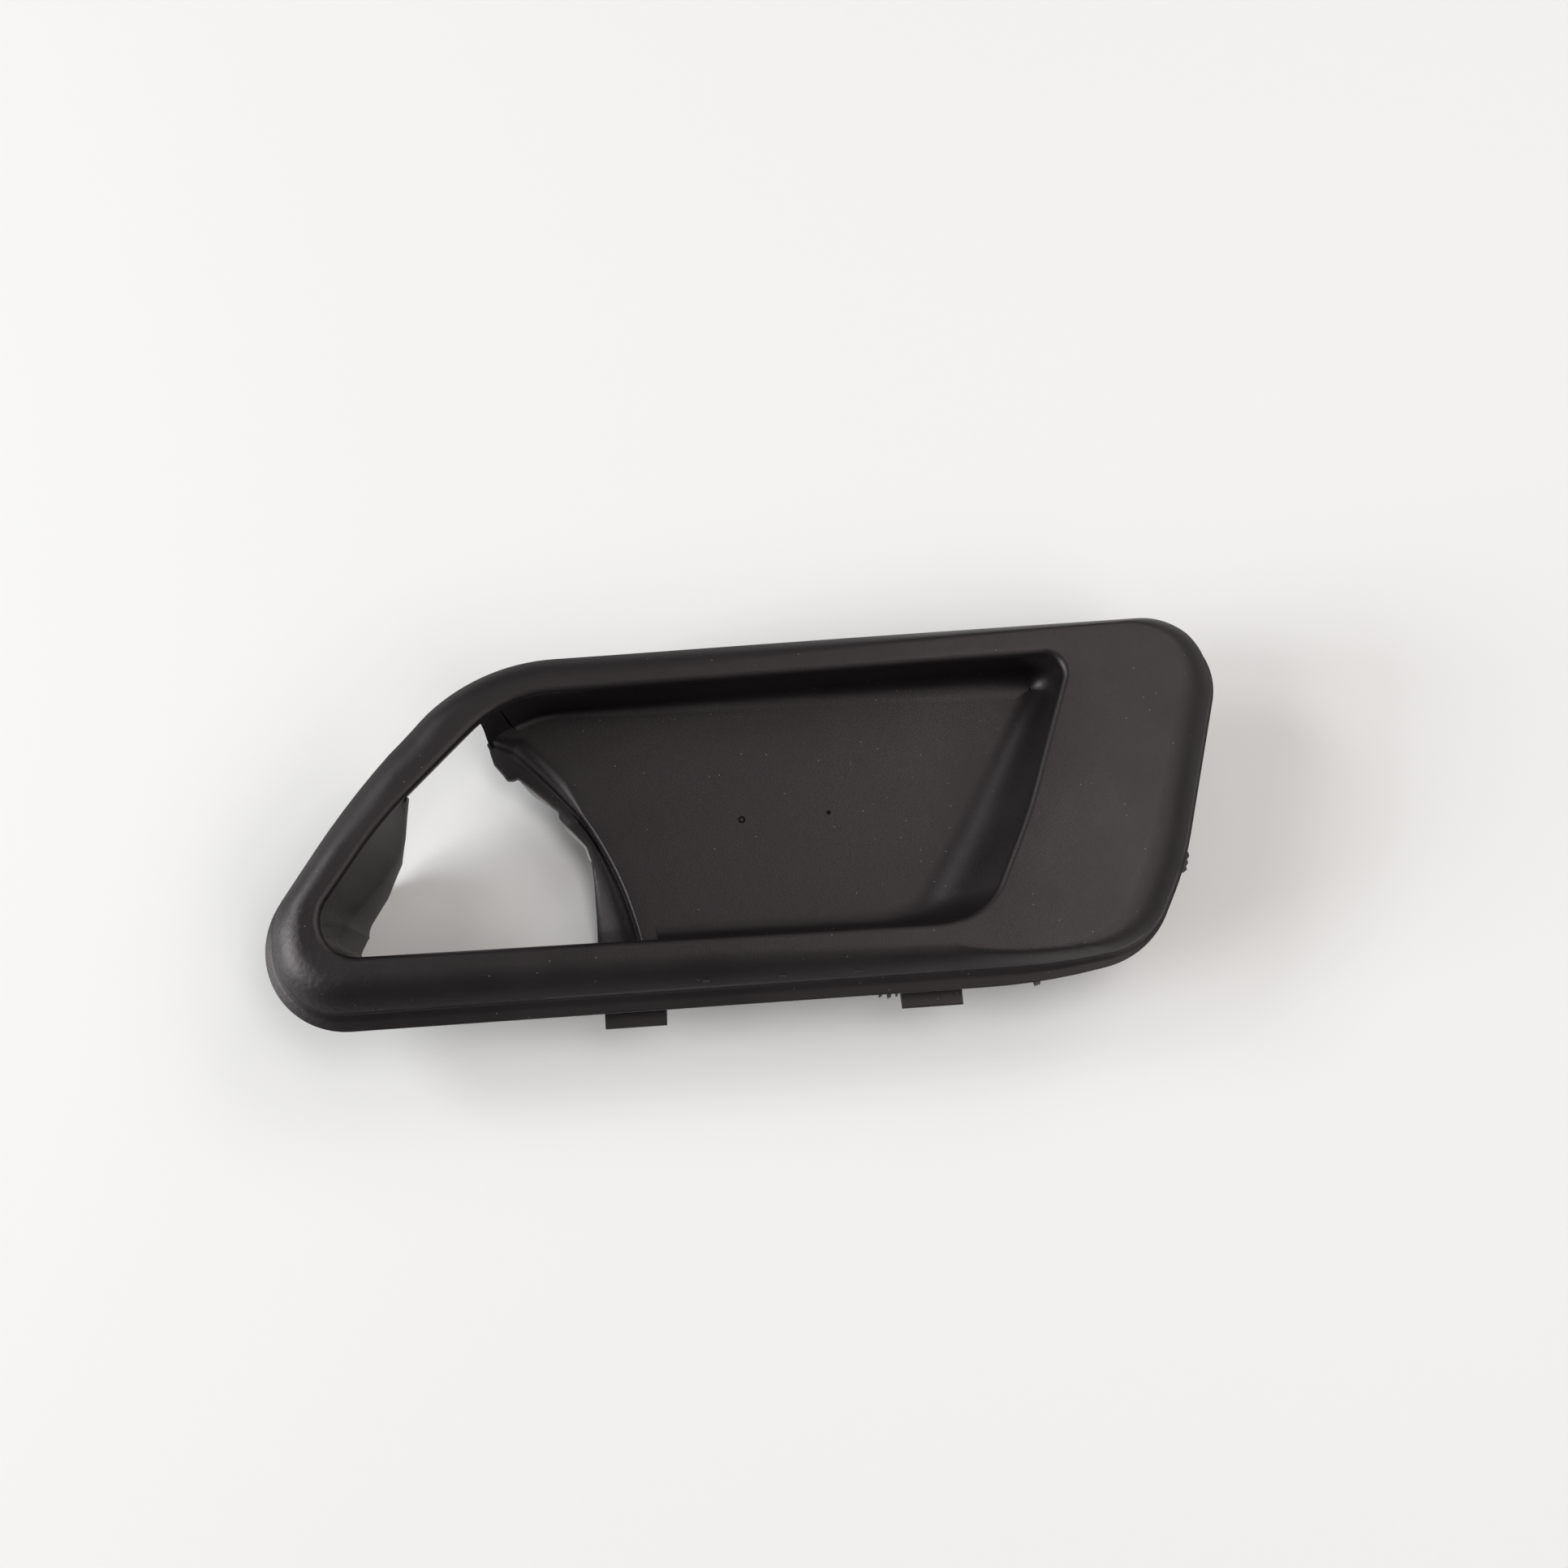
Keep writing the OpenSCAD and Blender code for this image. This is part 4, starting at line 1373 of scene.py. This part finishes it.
class Effects:
    """Shader groups that more than one finish uses."""

    BUMP_STRENGTH = 0.5
    BUMP_DEPTH = 0.00005

    def __init__(self) -> None:
        """Builds the groups."""
        self.grain = self.grain_group()
        self.specks = self.speck_group()

    @staticmethod
    def start(name: str, inputs: dict[str, float], output: str) -> tuple[ShaderTree, bpy.types.Node]:
        """Starts a group with number inputs and one number output.

        Args:
            name: The group's name.
            inputs: The inputs' names and usual values.
            output: The output's name.

        Returns:
            The wrapped tree and its input node.
        """
        tree = bpy.data.node_groups.new(name, "ShaderNodeTree")
        for key, value in inputs.items():
            item = tree.interface.new_socket(key, in_out="INPUT", socket_type="NodeSocketFloat")
            item.default_value = value
        tree.interface.new_socket(output, in_out="OUTPUT", socket_type="NodeSocketFloat")
        shader = ShaderTree(tree)
        return shader, shader.node("NodeGroupInput")

    def grain_group(self) -> bpy.types.NodeTree:
        """Builds the fine moulded grain with a softer waviness under it.

        Returns:
            The group, whose output is a height.
        """
        usual = {"Fine": 5200.0, "Wave": 700.0, "Wave share": 0.5}
        shader, given = self.start("moulded grain", usual, "Height")
        place = shader.place()
        fine = shader.noise(place, given.outputs["Fine"], 2.0, 0.6)
        wave = shader.noise(place, given.outputs["Wave"], 1.0)
        share = shader.math("MULTIPLY", wave, given.outputs["Wave share"])
        shader.node("NodeGroupOutput", {"Height": shader.math("ADD", fine, share)})
        return shader.tree

    def speck_group(self) -> bpy.types.NodeTree:
        """Builds sparse specks of dust.

        Returns:
            The group, whose output is 1 on a speck.
        """
        usual = {"Spacing": 560.0, "Size": 0.055, "Share": 0.4}
        shader, given = self.start("dust specks", usual, "Mask")
        cells = shader.node("ShaderNodeTexVoronoi", {
            "Vector": shader.place(), "Scale": given.outputs["Spacing"],
        })
        keep = shader.node("ShaderNodeSeparateColor", {"Color": cells.outputs["Color"]})
        near = shader.math("LESS_THAN", cells.outputs["Distance"], given.outputs["Size"])
        some = shader.math("GREATER_THAN", keep.outputs[0], given.outputs["Share"])
        shader.node("NodeGroupOutput", {"Mask": shader.math("MULTIPLY", near, some)})
        return shader.tree

    def height(self, shader: ShaderTree) -> Socket:
        """Places the grain in a material."""
        return shader.node("ShaderNodeGroup", node_tree=self.grain).outputs["Height"]

    def dusted(self, shader: ShaderTree, colour: Colour, dust: Colour) -> Socket:
        """Places the specks in a material, over its colour."""
        specks = shader.node("ShaderNodeGroup", node_tree=self.specks)
        return shader.mix(specks.outputs["Mask"], colour, dust)

    def bump(self, shader: ShaderTree, height: Socket) -> Socket:
        """Turns a height that holds the grain into a normal."""
        return shader.node("ShaderNodeBump", {
            "Height": height, "Strength": self.BUMP_STRENGTH, "Distance": self.BUMP_DEPTH,
        }).outputs["Normal"]


@dataclass(frozen=True)
class SatinPlastic:
    """Satin black moulded plastic with fine grain, a hammered tip, a gate's ring and a few marks."""

    colour: Colour = (0.0060, 0.0051, 0.0055, 1.0)
    dust: Colour = (0.11, 0.107, 0.103, 1.0)
    sheen: Colour = (1.0, 0.91, 0.93, 1.0)
    roughness: float = 0.43
    spread: float = 0.06
    cloud: float = 45.0
    cloud_range: tuple[float, float] = (0.3, 0.7)
    specular: float = 0.5
    pit_loss: float = 0.48
    tip: Place = (-0.066, -0.017, 0.020)
    tip_reach: float = 0.016
    dents: float = 1150.0
    dent_h: float = 1.6
    gate: Place = (-0.00126, 0.00247, 0.0105)
    gate_r: float = 0.00055
    gate_ring: tuple[float, float, float] = (0.8, 0.45, 0.15)
    tip_core: float = 0.4
    pit_core: float = 0.5
    marks: tuple[tuple[Place, float], ...] = (
        ((0.01324, 0.00270, 0.0105), 0.0005), ((0.0204, 0.0279, 0.0185), 0.0006),
        ((0.0297, 0.0293, 0.0180), 0.0004),
    )

    def worn(self, shader: ShaderTree, place: Socket) -> Socket:
        """Marks the gate's ring and the small dark pits.

        Args:
            shader: The material's tree.
            place: The object coordinates.

        Returns:
            A share that is 1 in the marks.
        """
        middle, outer, inner = (self.gate_r * share for share in self.gate_ring)
        off = shader.math("SUBTRACT", shader.distance(place, self.gate), middle)
        total = shader.fade(shader.math("ABSOLUTE", off), outer, inner)
        for point, r in self.marks:
            pit = shader.fade(shader.distance(place, point), r, r * self.pit_core)
            total = shader.math("MAXIMUM", total, pit)
        return total

    def hammered(self, shader: ShaderTree, place: Socket) -> Socket:
        """Gives the height of the dents round the tip.

        Args:
            shader: The material's tree.
            place: The object coordinates.

        Returns:
            The height, nothing away from the tip.
        """
        core = self.tip_reach * self.tip_core
        near = shader.fade(shader.distance(place, self.tip), self.tip_reach, core)
        dents = shader.node("ShaderNodeTexVoronoi", {"Vector": place, "Scale": self.dents},
                            feature="SMOOTH_F1")
        deep = shader.math("MULTIPLY", dents.outputs["Distance"], near)
        return shader.math("MULTIPLY", deep, self.dent_h)

    def build(self, effects: Effects) -> bpy.types.Material:
        """Makes the material.

        Args:
            effects: The shared shader groups.

        Returns:
            The material.
        """
        material, shader = start_material("satin black plastic")
        place = shader.place()
        height = shader.math("ADD", effects.height(shader), self.hammered(shader, place))
        low, high = self.cloud_range
        rough = shader.node("ShaderNodeMapRange", {
            "Value": shader.noise(place, self.cloud, 3.0), "From Min": low, "From Max": high,
            "To Min": self.roughness - self.spread, "To Max": self.roughness + self.spread,
        })
        lost = shader.math("MULTIPLY", self.worn(shader, place), self.pit_loss)
        shader.close({
            "Base Color": effects.dusted(shader, self.colour, self.dust),
            "Roughness": rough.outputs["Result"],
            "Normal": effects.bump(shader, height),
            "Specular IOR Level": shader.math("SUBTRACT", self.specular, lost),
            "Specular Tint": self.sheen,
        })
        return material


@dataclass(frozen=True)
class FlashWithPaintedLight:
    """Thin torn flash whose pale colour is partly its own thin plastic and partly painted light, the bright
    table that the lit sliver reflects; same grain and dust.
    """

    # pale base colour: partly painted light, standing for the bright table that the flash sliver reflects
    colour: Colour = (0.34, 0.33, 0.32, 1.0)
    dust: Colour = (0.5, 0.49, 0.48, 1.0)
    roughness: float = 0.5

    def build(self, effects: Effects) -> bpy.types.Material:
        """Makes the material.

        Args:
            effects: The shared shader groups.

        Returns:
            The material.
        """
        material, shader = start_material("flash with painted light")
        shader.close({
            "Base Color": effects.dusted(shader, self.colour, self.dust),
            "Roughness": self.roughness,
            "Normal": effects.bump(shader, effects.height(shader)),
        })
        return material


@dataclass(frozen=True)
class Lamp:
    """A soft lamp: where it hangs in degrees and metres, its sides and how bright its face is."""

    name: str
    azimuth: float
    elevation: float
    distance: float
    size: tuple[float, float]
    radiance: float
    tint: tuple[float, float, float] = (1.0, 0.96, 0.94)

    def hang(self) -> None:
        """Hangs the lamp so that it points at the cover."""
        light = bpy.data.lights.new(self.name, "AREA")
        light.shape = "RECTANGLE"
        light.size, light.size_y = self.size
        light.color = self.tint
        light.energy = self.radiance * math.pi * self.size[0] * self.size[1]
        holder = bpy.data.objects.new(self.name, light)
        turn, rise = math.radians(self.azimuth), math.radians(self.elevation)
        flat = self.distance * math.cos(rise)
        place = Vector((flat * math.cos(turn), flat * math.sin(turn), self.distance * math.sin(rise)))
        holder.location = place
        holder.rotation_euler = (-place).to_track_quat("-Z", "Y").to_euler()
        bpy.context.scene.collection.objects.link(holder)


@dataclass
class Studio:
    """The pale floor, the soft lights and the camera, in metres and degrees."""

    floor_side: float = 4.0
    floor_colour: Colour = (0.85, 0.85, 0.84, 1.0)
    floor_roughness: float = 0.6
    fill: Colour = (0.07, 0.07, 0.07, 1.0)
    backdrop: Colour = (0.86, 0.85, 0.84, 1.0)
    camera_at: Place = (0.00189, -0.05316, 0.26616)
    camera_turn: Place = (13.5, 0.0, -4.0)
    sensor_mm: float = 36.0
    focal_px: float = 1938.0
    picture_px: float = 1932.0
    lamps: tuple[Lamp, ...] = (
        Lamp("left bench light", 186.0, 20.0, 1.6, (0.75, 0.5), 13.0, (0.96, 0.99, 1.0)),
        Lamp("left window", 184.0, 40.0, 1.3, (0.5, 0.36), 5.0, (1.0, 0.99, 0.98)),
        Lamp("far left window", 152.0, 32.0, 1.3, (0.36, 0.36), 11.0, (0.96, 0.99, 1.0)),
        Lamp("ceiling near", -38.0, 57.0, 1.2, (0.45, 0.45), 2.2),
        Lamp("ceiling right", 18.0, 70.0, 1.1, (0.5, 0.45), 3.6),
        Lamp("far right window", 45.0, 38.0, 1.3, (0.75, 0.42), 3.0),
        Lamp("near right window", -45.0, 38.0, 1.3, (0.75, 0.42), 2.5),
        Lamp("right window", 0.0, 38.0, 1.3, (0.75, 0.42), 1.8),
        Lamp("ceiling far", 90.0, 64.0, 1.113, (0.45, 0.45), 0.6),
        Lamp("far window", 90.0, 38.0, 1.3, (0.75, 0.42), 0.6),
    )

    def floor(self) -> bpy.types.Object:
        """Lays the floor.

        Returns:
            Nothing; the floor is marked as stage, but mark_backdrop gives nothing back.
        """
        half = self.floor_side / 2
        corners = np.array([(-half, -half, 0.0), (half, -half, 0.0), (half, half, 0.0), (-half, half, 0.0)])
        floor = mesh_object("floor", (corners, [(0, 1, 2, 3)]))
        material, shader = start_material("pale table")
        shader.close({"Base Color": self.floor_colour, "Roughness": self.floor_roughness})
        floor.data.materials.append(material)
        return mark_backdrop(floor)

    def world(self) -> None:
        """Sets the world's level, and its pale look behind the floor for the camera alone."""
        world = bpy.data.worlds.new("soft world")
        world.use_nodes = True
        shader = ShaderTree(world.node_tree)
        seen = shader.node("ShaderNodeLightPath").outputs["Is Camera Ray"]
        background = world.node_tree.nodes["Background"]
        sky = shader.mix(seen, self.fill, self.backdrop)
        shader.tree.links.new(sky, background.inputs["Color"])
        bpy.context.scene.world = world

    def camera(self) -> None:
        """Sets the camera where the photograph was taken from."""
        data = bpy.data.cameras.new("camera")
        data.sensor_width = self.sensor_mm
        data.lens = self.sensor_mm * self.focal_px / self.picture_px
        data.clip_start = 0.01
        camera = bpy.data.objects.new("camera", data)
        camera.location = self.camera_at
        camera.rotation_euler = [math.radians(a) for a in self.camera_turn]
        bpy.context.scene.collection.objects.link(camera)
        bpy.context.scene.camera = camera

    def build(self) -> None:
        """Sets up the camera, the floor, the lamps, the world and the plain view."""
        self.camera()
        self.floor()
        for lamp in self.lamps:
            lamp.hang()
        self.world()
        bpy.context.scene.view_settings.view_transform = "Standard"


def main() -> None:
    """Builds the studio and the cover and hangs the cover's pieces under the root body."""
    logging.basicConfig(level=logging.INFO, format="%(message)s")
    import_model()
    low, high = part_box(NODE)
    Studio().build()
    effects = Effects()
    shape = Shape(
        x_tip=low.x / MM, x_end=high.x / MM, y_low=low.y / MM + Clips.hook.out, y_top=high.y / MM,
        z_face=high.z / MM,
    )
    piece = Cover(shape).build(SatinPlastic().build(effects))
    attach(piece, BODY)
    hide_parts(NODE)
    # the flash takes a pale colour that partly paints the light its sliver catches
    torn = Ledge(shape).flash(FlashWithPaintedLight().build(effects))
    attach(torn, BODY)
    for made in (piece, torn):
        log.info("%s: %d faces", made.name, len(made.data.polygons))


if __name__ == "__main__":
    main()
